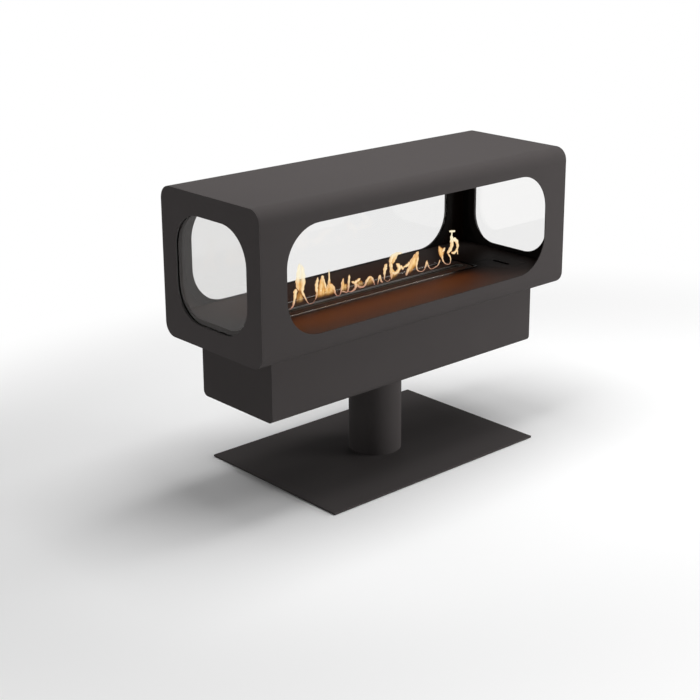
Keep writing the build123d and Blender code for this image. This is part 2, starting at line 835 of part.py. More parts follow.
with BuildPart() as hatch_frame:
    with BuildSketch(Plane.XY.offset(deck_bottom_z)):
        with Locations((hatch_x, hatch_y)):
            Rectangle(hatch_length + 2 * hatch_rim, hatch_width + 2 * hatch_rim)
            Rectangle(hatch_length - 2 * hatch_ledge, hatch_width - 2 * hatch_ledge, mode=Mode.SUBTRACT)
    extrude(amount=-deck_sheet)
hatch_frame.part.label = "hatch_frame"
export_step(hatch_frame.part, "parts/hatch_frame.step")

with BuildPart() as deck_hatch:
    with BuildSketch(Plane.XY.offset(deck_top_z)):
        with Locations((hatch_x, hatch_y)):
            Rectangle(hatch_length, hatch_width)
            SlotOverall(finger_slot_length, finger_slot_width, rotation=90, mode=Mode.SUBTRACT)
    extrude(amount=seat_gap - deck_sheet)
deck_hatch.part.label = "deck_hatch"
export_step(deck_hatch.part, "parts/deck_hatch.step")

# ======================================================================== burner top
with BuildPart() as burner_lip:
    # the upright rim that shows as a bright line
    with BuildSketch(Plane.XY.offset(deck_top_z + lip_rise)):
        Rectangle(lip_length, lip_width)
        Rectangle(lip_length - 2 * lip_wall, lip_width - 2 * lip_wall, mode=Mode.SUBTRACT)
    extrude(amount=-(lip_rise + lip_drop))
    # the flange under the deck and the ledge under the top plate
    with BuildSketch(Plane.XY.offset(deck_bottom_z)):
        Rectangle(lip_length + 2 * lip_flange, lip_width + 2 * lip_flange)
        Rectangle(
            lip_length - 2 * lip_wall - 2 * lip_ledge,
            lip_width - 2 * lip_wall - 2 * lip_ledge,
            mode=Mode.SUBTRACT,
        )
    extrude(amount=-deck_sheet)
burner_lip.part.label = "burner_lip"
export_step(burner_lip.part, "parts/burner_lip.step")

with BuildPart() as burner_top_plate:
    with BuildSketch(Plane.XY.offset(deck_bottom_z)):
        Rectangle(lip_length - 2 * lip_wall - 2 * sheet_gap, lip_width - 2 * lip_wall - 2 * sheet_gap)
        SlotOverall(slot_length, slot_width, mode=Mode.SUBTRACT)
    extrude(amount=deck_sheet)
burner_top_plate.part.label = "burner_top_plate"
export_step(burner_top_plate.part, "parts/burner_top_plate.step")

sensor_z = deck_bottom_z - sensor_drop
with BuildPart() as burn_trough:
    with BuildSketch(Plane.XY.offset(trough_bottom_z)):
        Rectangle(trough_length, trough_width)
    extrude(amount=trough_depth)
    with BuildSketch(Plane.XY.offset(deck_bottom_z)):
        Rectangle(trough_length, trough_width + 2 * trough_flange)
    extrude(amount=-trough_sheet)
    with BuildSketch(Plane.XY.offset(deck_bottom_z)):
        Rectangle(trough_length - 2 * trough_sheet, trough_width - 2 * trough_sheet)
    extrude(amount=trough_sheet - trough_depth, mode=Mode.SUBTRACT)
    # holes for the igniter and the probe in the left end wall
    with BuildSketch(Plane.YZ.offset(-trough_length / 2)):
        with Locations((igniter_y, sensor_z)):
            Circle(igniter_radius + screw_gap)
        with Locations((probe_y, sensor_z)):
            Circle(probe_radius + screw_gap)
    extrude(amount=trough_sheet, mode=Mode.SUBTRACT)
    # the fuel pipe's hole in the floor
    with BuildSketch(Plane.XY.offset(trough_bottom_z)):
        with Locations((pump_x, 0)):
            Circle(pipe_radius - pipe_wall)
    extrude(amount=trough_sheet, mode=Mode.SUBTRACT)
burn_trough.part.label = "burn_trough"
export_step(burn_trough.part, "parts/burn_trough.step")

with BuildPart() as ceramic_strip:
    with BuildSketch(Plane.XY.offset(trough_bottom_z + trough_sheet)):
        with Locations((ceramic_x, 0)):
            Rectangle(ceramic_length, trough_width - 2 * trough_sheet - 2 * sheet_gap)
    extrude(amount=ceramic_height)
ceramic_strip.part.label = "ceramic_strip"
export_step(ceramic_strip.part, "parts/ceramic_strip.step")

# a sleeve outside the trough's end wall and a thin rod through it
for sensor_name, rod_y, rod_radius in (
    ("igniter", igniter_y, igniter_radius),
    ("temperature_probe", probe_y, probe_radius),
):
    with BuildPart() as trough_sensor:
        with BuildSketch(Plane.YZ.offset(-trough_length / 2)):
            with Locations((rod_y, sensor_z)):
                Circle(sleeve_radius)
        extrude(amount=-sleeve_length)
        with BuildSketch(Plane.YZ.offset(-trough_length / 2)):
            with Locations((rod_y, sensor_z)):
                Circle(rod_radius)
        extrude(amount=sensor_reach)
    trough_sensor.part.label = sensor_name
    export_step(trough_sensor.part, f"parts/{sensor_name}.step")

# ======================================================================== burner casing
with BuildPart() as burner_casing:
    with BuildSketch(Plane.XY.offset(casing_bottom_z)):
        Rectangle(casing_length, casing_width)
    extrude(amount=casing_depth)
    with BuildSketch(Plane.XY.offset(casing_flange_z)):
        Rectangle(casing_length + 2 * casing_flange, casing_width + 2 * casing_flange)
    extrude(amount=-casing_sheet)
    with BuildSketch(Plane.XY.offset(casing_flange_z)):
        Rectangle(casing_length - 2 * casing_sheet, casing_width - 2 * casing_sheet)
    extrude(amount=casing_sheet - casing_depth, mode=Mode.SUBTRACT)
    with BuildSketch(Plane.XY.offset(casing_bottom_z)):
        with Locations((fan_x, 0)):
            Circle(fan_bore_radius)
    extrude(amount=casing_sheet, mode=Mode.SUBTRACT)
burner_casing.part.label = "burner_casing"
export_step(burner_casing.part, "parts/burner_casing.step")

# ======================================================================== fuel tank
with BuildPart() as fuel_tank:
    with BuildSketch(Plane.XY.offset(casing_floor_z)):
        with Locations((tank_x, 0)):
            Rectangle(tank_length, tank_width)
    extrude(amount=tank_height)
    with BuildSketch(Plane.XY.offset(casing_floor_z + tank_sheet)):
        with Locations((tank_x, 0)):
            Rectangle(tank_length - 2 * tank_sheet, tank_width - 2 * tank_sheet)
    extrude(amount=tank_height - 2 * tank_sheet, mode=Mode.SUBTRACT)
    with BuildSketch(Plane.XY.offset(tank_top_z)):
        with Locations((filler_x, filler_y)):
            Circle(neck_radius - neck_wall)
        with Locations((sensor_x, 0)):
            Circle(sensor_stem_radius + screw_gap)
    extrude(amount=-tank_sheet, mode=Mode.SUBTRACT)
    # the suction pipe's hole, low in the left end
    with BuildSketch(Plane.YZ.offset(tank_left)):
        with Locations((0, casing_floor_z + pump_nipple_height)):
            Circle(pipe_radius - pipe_wall)
    extrude(amount=tank_sheet, mode=Mode.SUBTRACT)
fuel_tank.part.label = "fuel_tank"
export_step(fuel_tank.part, "parts/fuel_tank.step")

with BuildPart() as filler_neck:
    with BuildSketch(Plane.XY.offset(tank_top_z)):
        with Locations((filler_x, filler_y)):
            Circle(neck_radius)
            Circle(neck_radius - neck_wall, mode=Mode.SUBTRACT)
    extrude(amount=neck_top_z - tank_top_z)
filler_neck.part.label = "filler_neck"
export_step(filler_neck.part, "parts/filler_neck.step")

with BuildPart() as filler_cap:
    with BuildSketch(Plane.XY.offset(cap_top_z)):
        with Locations((filler_x, filler_y)):
            Circle(cap_radius)
            with PolarLocations(cap_radius, cap_grip_count):
                Circle(cap_grip_radius, mode=Mode.SUBTRACT)
    extrude(amount=-cap_height)
    with BuildSketch(Plane.XY.offset(cap_top_z - cap_height)):
        with Locations((filler_x, filler_y)):
            Circle(neck_radius + running_gap)
    extrude(amount=cap_height - cap_top, mode=Mode.SUBTRACT)
filler_cap.part.label = "filler_cap"
export_step(filler_cap.part, "parts/filler_cap.step")

sensor_foot_z = casing_floor_z + tank_sheet
with BuildPart() as level_sensor:
    with BuildSketch(Plane.XY.offset(tank_top_z)):
        with Locations((sensor_x, 0)):
            Circle(sensor_head_radius)
    extrude(amount=sensor_head_height)
    with BuildSketch(Plane.XY.offset(tank_top_z)):
        with Locations((sensor_x, 0)):
            Circle(sensor_stem_radius)
    extrude(amount=sensor_foot_z - tank_top_z)
    with BuildSketch(Plane.XY.offset(sensor_foot_z)):
        with Locations((sensor_x, 0)):
            Circle(sensor_stop_radius)
    extrude(amount=sensor_stop_height)
level_sensor.part.label = "level_sensor"
export_step(level_sensor.part, "parts/level_sensor.step")

with BuildPart() as level_float:
    with BuildSketch(Plane.XY.offset(sensor_foot_z + sensor_stop_height + seat_gap)):
        with Locations((sensor_x, 0)):
            Circle(float_radius)
            Circle(sensor_stem_radius + running_gap, mode=Mode.SUBTRACT)
    extrude(amount=float_height)
    fillet(level_float.edges().filter_by(GeomType.CIRCLE).sort_by(SortBy.RADIUS)[-2:], float_fillet)
level_float.part.label = "level_float"
export_step(level_float.part, "parts/level_float.step")

# ======================================================================== pump and pipes
pump_top_z = casing_floor_z + pump_base_thickness + pump_height
with BuildPart() as fuel_pump:
    with BuildSketch(Plane.XY.offset(casing_floor_z)):
        with Locations((pump_x, 0)):
            RectangleRounded(pump_base, pump_base, pump_base_radius)
            with GridLocations(pump_base - 2 * pump_screw_inset, pump_base - 2 * pump_screw_inset, 2, 2):
                Circle(fan_screw_radius, mode=Mode.SUBTRACT)
    extrude(amount=pump_base_thickness)
    with BuildSketch(Plane.XY.offset(casing_floor_z + pump_base_thickness)):
        with Locations((pump_x, 0)):
            Circle(pump_radius)
    extrude(amount=pump_height)
    with BuildSketch(Plane.XY.offset(pump_top_z)):
        with Locations((pump_x, 0)):
            Circle(pump_nipple_radius)
    extrude(amount=pump_nipple_length)
    with BuildSketch(Plane.YZ.offset(pump_x)):
        with Locations((0, casing_floor_z + pump_nipple_height)):
            Circle(pump_nipple_radius)
    extrude(amount=pump_radius + pump_nipple_length)
fuel_pump.part.label = "fuel_pump"
export_step(fuel_pump.part, "parts/fuel_pump.step")

feed_bottom_z = pump_top_z + pump_nipple_length
feed_middle_z = (feed_bottom_z + trough_bottom_z) / 2
with BuildPart() as fuel_pipes:
    # from the pump up to the trough, with a jog to one side that takes up the heat's stretch
    with BuildLine() as feed_route:
        FilletPolyline(
            (pump_x, 0, feed_bottom_z),
            (pump_x, 0, feed_middle_z - pipe_offset / 2),
            (pump_x, pipe_offset, feed_middle_z - pipe_offset / 2),
            (pump_x, pipe_offset, feed_middle_z + pipe_offset / 2),
            (pump_x, 0, feed_middle_z + pipe_offset / 2),
            (pump_x, 0, trough_bottom_z),
            radius=pipe_bend,
        )
    with BuildSketch(Plane.XY.offset(feed_bottom_z)):
        with Locations((pump_x, 0)):
            Circle(pipe_radius)
            Circle(pipe_radius - pipe_wall, mode=Mode.SUBTRACT)
    sweep(path=feed_route.line)
    # from the tank's end to the pump's side
    with BuildSketch(Plane.YZ.offset(pump_x + pump_radius + pump_nipple_length)):
        with Locations((0, casing_floor_z + pump_nipple_height)):
            Circle(pipe_radius)
            Circle(pipe_radius - pipe_wall, mode=Mode.SUBTRACT)
    extrude(amount=tank_left - pump_x - pump_radius - pump_nipple_length)
fuel_pipes.part.label = "fuel_pipes"
export_step(fuel_pipes.part, "parts/fuel_pipes.step")

# ======================================================================== electronics
board_bottom_z = casing_floor_z + standoff_height
board_top_z = board_bottom_z + board_thickness
with BuildPart() as control_board:
    with BuildSketch(Plane.XY.offset(board_bottom_z)):
        with Locations((board_x, 0)):
            Rectangle(board_length, board_width)
    extrude(amount=board_thickness)
control_board.part.label = "control_board"
export_step(control_board.part, "parts/control_board.step")

with BuildPart() as board_components:
    top_seat = (Align.CENTER, Align.CENTER, Align.MIN)
    with Locations((board_x, 0, casing_floor_z)):
        with GridLocations(board_length - 2 * standoff_inset, board_width - 2 * standoff_inset, 2, 2):
            Cylinder(standoff_radius, standoff_height, align=top_seat)
    with Locations((board_x, 0, board_top_z)):
        with Locations(transformer_place):
            Box(*transformer_size, align=top_seat)
        with Locations(relay_place):
            with GridLocations(0, relay_pitch, 1, relay_count):
                Box(*relay_size, align=top_seat)
        with Locations(capacitor_place):
            Cylinder(capacitor_radius, capacitor_height, align=top_seat)
        with Locations(terminal_place):
            Box(*terminal_size, align=top_seat)
board_components.part.label = "board_components"
export_step(board_components.part, "parts/board_components.step")

with BuildPart() as fan_housing:
    with BuildSketch(Plane.XY.offset(casing_floor_z)):
        with Locations((fan_x, 0)):
            RectangleRounded(fan_size, fan_size, fan_corner_radius)
            Circle(fan_bore_radius, mode=Mode.SUBTRACT)
            with GridLocations(fan_size - 2 * fan_screw_inset, fan_size - 2 * fan_screw_inset, 2, 2):
                Circle(fan_screw_radius, mode=Mode.SUBTRACT)
    extrude(amount=fan_height)
    # the motor's seat on its arms
    with BuildSketch(Plane.XY.offset(casing_floor_z)):
        with Locations((fan_x, 0)):
            Circle(fan_hub_radius)
            with PolarLocations(fan_bore_radius / 2, fan_arm_count):
                Rectangle(fan_bore_radius + 2 * fan_arm_bite, fan_arm_width)
    extrude(amount=fan_arm_height)
    with BuildSketch(Plane.XY.offset(casing_floor_z + fan_arm_height)):
        with Locations((fan_x, 0)):
            Circle(fan_pin_radius)
    extrude(amount=fan_pin_height)
fan_housing.part.label = "fan_housing"
export_step(fan_housing.part, "parts/fan_housing.step")

rotor_bottom_z = casing_floor_z + fan_arm_height + seat_gap
with BuildPart() as fan_rotor:
    with Locations((fan_x, 0, rotor_bottom_z + fan_rotor_height / 2)):
        with PolarLocations(fan_blade_radius / 2, fan_blade_count):
            Box(fan_blade_radius, fan_rotor_height, fan_blade_thickness, rotation=(fan_blade_pitch, 0, 0))
    with BuildSketch(Plane.XY.offset(rotor_bottom_z)):
        with Locations((fan_x, 0)):
            Circle(fan_blade_radius)
    extrude(amount=fan_rotor_height, mode=Mode.INTERSECT)
    with BuildSketch(Plane.XY.offset(rotor_bottom_z)):
        with Locations((fan_x, 0)):
            Circle(fan_hub_radius)
    extrude(amount=fan_rotor_height)
    with BuildSketch(Plane.XY.offset(rotor_bottom_z)):
        with Locations((fan_x, 0)):
            Circle(fan_pin_radius + shaft_gap)
    extrude(amount=fan_pin_height, mode=Mode.SUBTRACT)
fan_rotor.part.label = "fan_rotor"
export_step(fan_rotor.part, "parts/fan_rotor.step")

# ======================================================================== controls under the hatch
button_bore_radius = button_radius + running_gap
button_barrel_radius = button_bore_radius + bezel_wall
rocker_cavity_length = rocker_length + 2 * rocker_swing_room
rocker_cavity_width = rocker_width + 2 * running_gap
rocker_body_length = rocker_cavity_length + 2 * rocker_frame_wall
rocker_body_width = rocker_cavity_width + 2 * rocker_frame_wall
rocker_pivot_z = panel_top_z
switch_bottom_z = panel_top_z - switch_depth

with BuildPart() as control_panel:
    with BuildSketch(Plane.YZ.offset(panel_x - panel_length / 2)):
        with Locations((0, casing_flange_z)):
            Rectangle(panel_width, panel_height, align=(Align.CENTER, Align.MIN))
            Rectangle(
                panel_width - 2 * panel_sheet,
                panel_height - panel_sheet,
                align=(Align.CENTER, Align.MIN),
                mode=Mode.SUBTRACT,
            )
    extrude(amount=panel_length)
    with BuildSketch(Plane.XY.offset(panel_top_z)):
        with Locations((filler_x, filler_y)):
            Circle(neck_radius + running_gap)
        with Locations((button_x, switch_y)):
            Circle(button_barrel_radius + screw_gap)
        with Locations((rocker_x, switch_y)):
            Rectangle(rocker_body_width + 2 * screw_gap, rocker_body_length + 2 * screw_gap)
    extrude(amount=-panel_sheet, mode=Mode.SUBTRACT)
control_panel.part.label = "control_panel"
export_step(control_panel.part, "parts/control_panel.step")

with BuildPart() as switch_bezels:
    # the start button's barrel and collar
    with BuildSketch(Plane.XY.offset(panel_top_z)):
        with Locations((button_x, switch_y)):
            Circle(bezel_radius)
        with Locations((rocker_x, switch_y)):
            RectangleRounded(
                rocker_body_width + 2 * rocker_frame_lip,
                rocker_body_length + 2 * rocker_frame_lip,
                edge_radius,
            )
    extrude(amount=bezel_rise)
    with BuildSketch(Plane.XY.offset(switch_bottom_z)):
        with Locations((button_x, switch_y)):
            Circle(button_barrel_radius)
        with Locations((rocker_x, switch_y)):
            Rectangle(rocker_body_width, rocker_body_length)
    extrude(amount=switch_depth)
    with BuildSketch(Plane.XY.offset(panel_top_z + bezel_rise)):
        with Locations((button_x, switch_y)):
            Circle(button_bore_radius)
        with Locations((rocker_x, switch_y)):
            Rectangle(rocker_cavity_width, rocker_cavity_length)
    extrude(amount=switch_floor - switch_depth - bezel_rise, mode=Mode.SUBTRACT)
    # bearings for the rocker's pin
    with Locations(Location((rocker_x, switch_y, rocker_pivot_z), (0, 90, 0))):
        Cylinder(
            rocker_pin_radius + shaft_gap,
            rocker_cavity_width + 2 * rocker_pin_bite + 2 * shaft_gap,
            mode=Mode.SUBTRACT,
        )
switch_bezels.part.label = "switch_bezels"
export_step(switch_bezels.part, "parts/switch_bezels.step")

with BuildPart() as start_button:
    with BuildSketch(Plane.XY.offset(panel_top_z + bezel_rise + button_rise)):
        with Locations((button_x, switch_y)):
            Circle(button_radius)
    extrude(amount=-button_length)
    fillet(start_button.edges().group_by(Axis.Z)[-1], edge_radius)
start_button.part.label = "start_button"
export_step(start_button.part, "parts/start_button.step")

# the rocker is drawn switched off, tipped about its pin
rocker_side = Plane(
    origin=(rocker_x - rocker_width / 2, switch_y, rocker_pivot_z), x_dir=(0, 1, 0), z_dir=(1, 0, 0)
)
with BuildPart() as power_rocker:
    with BuildSketch(rocker_side.rotated((-rocker_tilt, 0, 0))):
        with BuildLine():
            Polyline(
                (-rocker_length / 2, -rocker_drop),
                (rocker_length / 2, -rocker_drop),
                (rocker_length / 2, rocker_end_rise),
                (0, rocker_middle_rise),
                (-rocker_length / 2, rocker_end_rise),
                close=True,
            )
        make_face()
    extrude(amount=rocker_width)
    with Locations(Location((rocker_x, switch_y, rocker_pivot_z), (0, 90, 0))):
        Cylinder(rocker_pin_radius, rocker_cavity_width + 2 * rocker_pin_bite)
power_rocker.part.label = "power_rocker"
export_step(power_rocker.part, "parts/power_rocker.step")

# ======================================================================== travels, printed for the record
float_top_z = sensor_foot_z + sensor_stop_height + seat_gap + float_height
print("float travel", tank_top_z - tank_sheet - float_top_z)
print("filler cap axis", filler_x, filler_y, "hatch lift", hatch_lift, "button travel", button_travel)
print("rocker pivot", rocker_x, switch_y, rocker_pivot_z, "swing", 2 * rocker_tilt, "fan axis", fan_x)
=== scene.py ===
# %% [markdown]
# # A bioethanol fireplace, finished and lit
#
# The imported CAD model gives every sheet, pane, bolt and moving piece of the fireplace in its true
# size. This lesson dresses that model: it places the camera and the studio light, gives each piece
# a procedural finish, and adds the one thing that no solid stands for, which is the fire.

# %% The frame
import json
import math

import bpy
import numpy as np
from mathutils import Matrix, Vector


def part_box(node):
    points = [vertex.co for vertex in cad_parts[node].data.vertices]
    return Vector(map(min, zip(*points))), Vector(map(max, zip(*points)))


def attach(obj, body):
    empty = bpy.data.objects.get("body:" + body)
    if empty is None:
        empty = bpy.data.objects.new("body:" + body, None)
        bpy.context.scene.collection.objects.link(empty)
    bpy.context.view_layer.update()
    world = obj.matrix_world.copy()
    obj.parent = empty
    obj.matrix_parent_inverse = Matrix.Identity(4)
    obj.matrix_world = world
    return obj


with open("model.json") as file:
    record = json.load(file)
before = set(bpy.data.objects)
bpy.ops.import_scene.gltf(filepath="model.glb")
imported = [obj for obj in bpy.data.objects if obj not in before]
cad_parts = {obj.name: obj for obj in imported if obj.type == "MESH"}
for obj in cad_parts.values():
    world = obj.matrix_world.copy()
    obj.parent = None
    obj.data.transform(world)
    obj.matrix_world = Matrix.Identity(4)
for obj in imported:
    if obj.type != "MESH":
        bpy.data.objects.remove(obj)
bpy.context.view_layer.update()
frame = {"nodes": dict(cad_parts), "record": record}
nodes = frame["nodes"]

# %% [markdown]
# ## The camera
#
# The photograph looks down on the left front corner with a fairly long lens. Its place and lens
# were worked out from the straight edges of the hood, plinth and floor plate. The small shift moves
# the fireplace off the middle of the square picture, as it is there, without turning the camera.

# %% The camera
CAMERA_PLACE = (-3.232294, -3.494141, 2.027073)
CAMERA_TILT = 16.601  # degrees below the horizon
CAMERA_TURN = -42.802  # degrees from looking along +Y
PICTURE = 700  # pixels along each side
FOCAL_PIXELS = 1449.615
PICTURE_CENTRE = (375.708, 282.756)  # where the lens axis meets the picture

camera_data = bpy.data.cameras.new("camera")
camera_data.sensor_width = 36.0
camera_data.lens = FOCAL_PIXELS / PICTURE * camera_data.sensor_width
camera_data.shift_x = (PICTURE / 2 - PICTURE_CENTRE[0]) / PICTURE
camera_data.shift_y = (PICTURE_CENTRE[1] - PICTURE / 2) / PICTURE
camera = bpy.data.objects.new("camera", camera_data)
camera.location = CAMERA_PLACE
camera.rotation_euler = (math.radians(90 - CAMERA_TILT), 0, math.radians(CAMERA_TURN))
bpy.context.scene.collection.objects.link(camera)
bpy.context.scene.camera = camera
bpy.context.scene.view_settings.view_transform = "Standard"
print("lens", round(camera_data.lens, 2), "millimetres")
print("shift", round(camera_data.shift_x, 4), round(camera_data.shift_y, 4))

# %% [markdown]
# ## Writing a finish as sums
#
# A procedural finish is a net of nodes, and a net drawn by hand is hard to read back. Here each
# output of a node is wrapped in a Wire, and plain arithmetic on wires adds the Math nodes, so that
# a mask can be turned round as 1 - mask. Colours stay out of it, because Math would make them grey.


# %% Wires
class Wire:
    """One output of a node. Arithmetic on it adds a Math node and gives the new output."""

    def __init__(self, finish, socket):
        self.finish = finish
        self.socket = socket

    def math(self, operation, *values):
        settings = {"operation": operation}
        return self.finish.node("ShaderNodeMath", settings, dict(enumerate((self, *values))))

    def __add__(self, other):
        return self.math("ADD", other)

    def __sub__(self, other):
        return self.math("SUBTRACT", other)

    def __mul__(self, other):
        return self.math("MULTIPLY", other)

    def __rsub__(self, other):
        return (self * -1) + other

    def __pow__(self, power):
        return self.math("POWER", power)

    def __lt__(self, level):
        return self.math("LESS_THAN", level)

    __radd__ = __add__
    __rmul__ = __mul__


print("wires ready")

# %% [markdown]
# ## One way to add a node
#
# Every node that isn't arithmetic comes from one method, which takes the node's type, its settings
# and the values or wires of its inputs. The methods after it only name what many finishes share: a
# place in metres, a noise, a slope between two values, a mix of two colours and a bump.


# %% Finishes
class Finish:
    """A material, or the world, being put together from nodes."""

    def __init__(self, name, kind="materials"):
        self.owner = getattr(bpy.data, kind).new(name)
        self.owner.use_nodes = True
        self.tree = self.owner.node_tree
        self.tree.nodes.clear()

    def node(self, kind, settings=None, sockets=None, output=0):
        """Add a node: its settings first, then the values or wires of its inputs."""
        made = self.tree.nodes.new(kind)
        for key, value in (settings or {}).items():
            if key == "stops":
                ramp = made.color_ramp.elements
                while len(ramp) < len(value):
                    ramp.new(0.5)
                for element, (place, colour) in zip(ramp, value):
                    element.position = place
                    element.color = (*colour, 1)
            else:
                setattr(made, key, value)
        for key, value in (sockets or {}).items():
            self.plug(made.inputs[key], value)
        return Wire(self, made.outputs[output]) if made.outputs else None

    def plug(self, socket, value):
        if isinstance(value, Wire):
            self.tree.links.new(value.socket, socket)
        elif isinstance(value, tuple) and len(value) == 3 and socket.type == "RGBA":
            socket.default_value = (*value, 1)
        else:
            socket.default_value = value

    def place(self, stretch=(1, 1, 1)):
        """Object coordinates in metres, stretched per axis."""
        here = self.node("ShaderNodeTexCoord", output="Object")
        return self.node("ShaderNodeMapping", {}, {"Vector": here, "Scale": stretch})

    def axis(self, letter):
        """How far along X, Y or Z a point lies, in metres."""
        return self.node("ShaderNodeSeparateXYZ", {}, {0: self.place()}, output=letter)

    def noise(self, scale, detail=3.0, roughness=0.55, stretch=(1, 1, 1)):
        """Fractal noise between 0 and 1, with this many bumps to a metre."""
        sockets = {"Vector": self.place(stretch), "Scale": scale}
        return self.node(
            "ShaderNodeTexNoise", {}, sockets | {"Detail": detail, "Roughness": roughness}
        )

    def slope(self, value, low, high, top=1.0, smooth=True):
        """0 up to the low value and top from the high one, along a smooth step or a line."""
        settings = {"interpolation_type": "SMOOTHSTEP" if smooth else "LINEAR"}
        sockets = {"Value": value, "From Min": low, "From Max": high, "To Max": top}
        return self.node("ShaderNodeMapRange", settings, sockets)

    def mix(self, share, first, second):
        """Two colours mixed by a share."""
        sockets = {0: share, 6: first, 7: second}
        return self.node("ShaderNodeMix", {"data_type": "RGBA"}, sockets, output=2)

    def bump(self, height, distance, strength=1.0):
        """A normal tilted by a height of 0 to 1 that stands for this distance in metres."""
        sockets = {"Height": height, "Distance": distance, "Strength": strength}
        return self.node("ShaderNodeBump", {}, sockets)

    def close(self, sockets):
        """The Principled shader that shows on the surface."""
        return self.show(self.node("ShaderNodeBsdfPrincipled", {}, sockets))

    def show(self, shader, end="ShaderNodeOutputMaterial"):
        """Put a shader on show and return what it was made for."""
        self.node(end, {}, {"Surface": shader})
        return self.owner


def shaded(colour, factor):
    """A colour made darker or lighter by a factor, worked out in Python."""
    return tuple(part * factor for part in colour)


print("finishes ready")

# %% [markdown]
# ## The white background
#
# The fireplace stands before plain white. A strong white world would light it from all sides and
# wash out its anthracite coat. So the white is a colour that only camera, mirror and see-through
# rays meet: it shows behind the panes and in the polished lip, and gives almost no light.

# %% World
WORLD_LIGHT = 0.01  # its strength for all other rays


def rays_that_see(finish):
    """1 for the rays that show the background: from the camera, off a mirror or through glass."""
    kinds = ("Is Camera Ray", "Is Glossy Ray", "Is Transmission Ray")
    first, second, third = (finish.node("ShaderNodeLightPath", output=kind) for kind in kinds)
    return first.math("MAXIMUM", second).math("MAXIMUM", third)


air = Finish("studio", "worlds")
air_strength = WORLD_LIGHT + rays_that_see(air) * (1 - WORLD_LIGHT)
air_white = air.node("ShaderNodeBackground", {}, {"Color": (1, 1, 1), "Strength": air_strength})
bpy.context.scene.world = air.show(air_white, "ShaderNodeOutputWorld")
print("world light", WORLD_LIGHT)

# %% [markdown]
# ## The floor
#
# The floor is one flat face. Near the column it is matt and pale, so that it holds the shadows. A
# lit floor always ends in a grey horizon, so further out its colour fades to the plain white that
# the world has, along a smooth step of the distance from the column.

# %% Floor
FLOOR_REACH = 40.0  # metres each way
FLOOR_PALE = (0.93, 0.93, 0.93)
SHADOW_REACH = (1.2, 2.3)  # metres from the column: the floor's own light, then plain white
SHADOW_SHAPE = (0.8, 1.15, 1.0)  # the shadow lies longer along the hood than across it


def floor_finish(name):
    """Matt and pale where the shadow lies, and plain white, as rays see it, further out."""
    finish = Finish(name)
    matt = finish.node("ShaderNodeBsdfDiffuse", {}, {"Color": FLOOR_PALE})
    white = finish.node("ShaderNodeEmission", {}, {"Color": (1, 1, 1), "Strength": 1.0})
    stretched = {0: finish.place(SHADOW_SHAPE)}
    away = finish.node("ShaderNodeVectorMath", {"operation": "LENGTH"}, stretched, output="Value")
    share = rays_that_see(finish) * finish.slope(away, *SHADOW_REACH)
    return finish.show(finish.node("ShaderNodeMixShader", {}, {0: share, 1: matt, 2: white}))


floor_corners = np.array(((-1, -1, 0), (1, -1, 0), (1, 1, 0), (-1, 1, 0))) * FLOOR_REACH
floor_mesh = bpy.data.meshes.new("floor")
floor_mesh.from_pydata(floor_corners.tolist(), [], [(0, 1, 2, 3)])
floor_mesh.materials.append(floor_finish("studio_floor"))
floor = bpy.data.objects.new("floor", floor_mesh)
bpy.context.scene.collection.objects.link(floor)
print("floor reaches", FLOOR_REACH, "m each way")

# %% [markdown]
# ## Studio light
#
# Two soft shadows lie on the floor in the photograph, one to the front left and one to the rear
# right, so the light comes from large soft boxes on both sides. The roof is the lightest face and
# has the four high boxes. The front is lighter at its right, so its strong box and a weak near one
# stand there. The left end is the darkest and has one box to itself, far away, because a far box
# lights a face evenly, while a near one makes it fade from side to side.


# %% Lamps
def soft_box(name, place, aim, width, height, power, colour=(1, 1, 1)):
    """A rectangular area lamp at a place, turned to face a point."""
    data = bpy.data.lights.new(name, "AREA")
    data.shape = "RECTANGLE"
    data.size = width
    data.size_y = height
    data.energy = power
    data.color = colour
    lamp = bpy.data.objects.new(name, data)
    lamp.location = place
    lamp.rotation_euler = (Vector(aim) - Vector(place)).to_track_quat("-Z", "Y").to_euler()
    bpy.context.scene.collection.objects.link(lamp)
    return lamp


# Each lamp's place, the point that it faces, its width and height, and its power.
LAMPS = {
    "overhead": ((0.0, 0.0, 3.4), (0, 0, 0), 1.4, 1.4, 59),
    "high_front_right": ((1.6, -1.6, 4.2), (0, 0, 0.5), 2.2, 2.2, 45),
    "high_rear_left": ((-1.6, 1.6, 4.2), (0, 0, 0.5), 2.2, 2.2, 27),
    "high_right": ((2.2, 0.0, 4.2), (0, 0, 0.5), 2.2, 2.2, 48),
    "low_front_right": ((5.0, -5.0, 1.3), (0, 0, 0.5), 3.0, 2.2, 310),
    "near_front_right": ((3.0, -2.5, 1.0), (0, 0, 0.5), 2.0, 1.6, 32),
    "low_left": ((-7.0, 0.5, 1.3), (0, 0, 0.5), 3.0, 2.2, 72),
}
for lamp_name, lamp_facts in LAMPS.items():
    soft_box(lamp_name, *lamp_facts)
print("lamps", len(LAMPS))

# %% [markdown]
# ## Outside and inside of the shell
#
# The hood's sheets are anthracite outside and heat-proof black inside, but each is one piece with
# one material. The sheet is only 3 or 4 mm thick, so a mask can tell its two faces apart by place
# alone: on the wrap by the distance to its rounded outline, on an end by the distance along X.

# %% Shell sizes
HOOD_CORNER = 0.045  # the outer radius of the wrap's folds
WRAP_SHEET = 0.003
END_SHEET = 0.004
INNER_SKIN = 0.85  # deeper than this share of a sheet's thickness is its inner face
wrap_low, wrap_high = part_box("hood_wrap")
HOOD_HALF = (wrap_high.y - wrap_low.y) / 2
HOOD_MIDDLE = (wrap_high.z + wrap_low.z) / 2
HOOD_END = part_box("end_panel_right")[1].x
print("half section", round(HOOD_HALF, 4), "middle", round(HOOD_MIDDLE, 4))
print("end at", round(HOOD_END, 4))


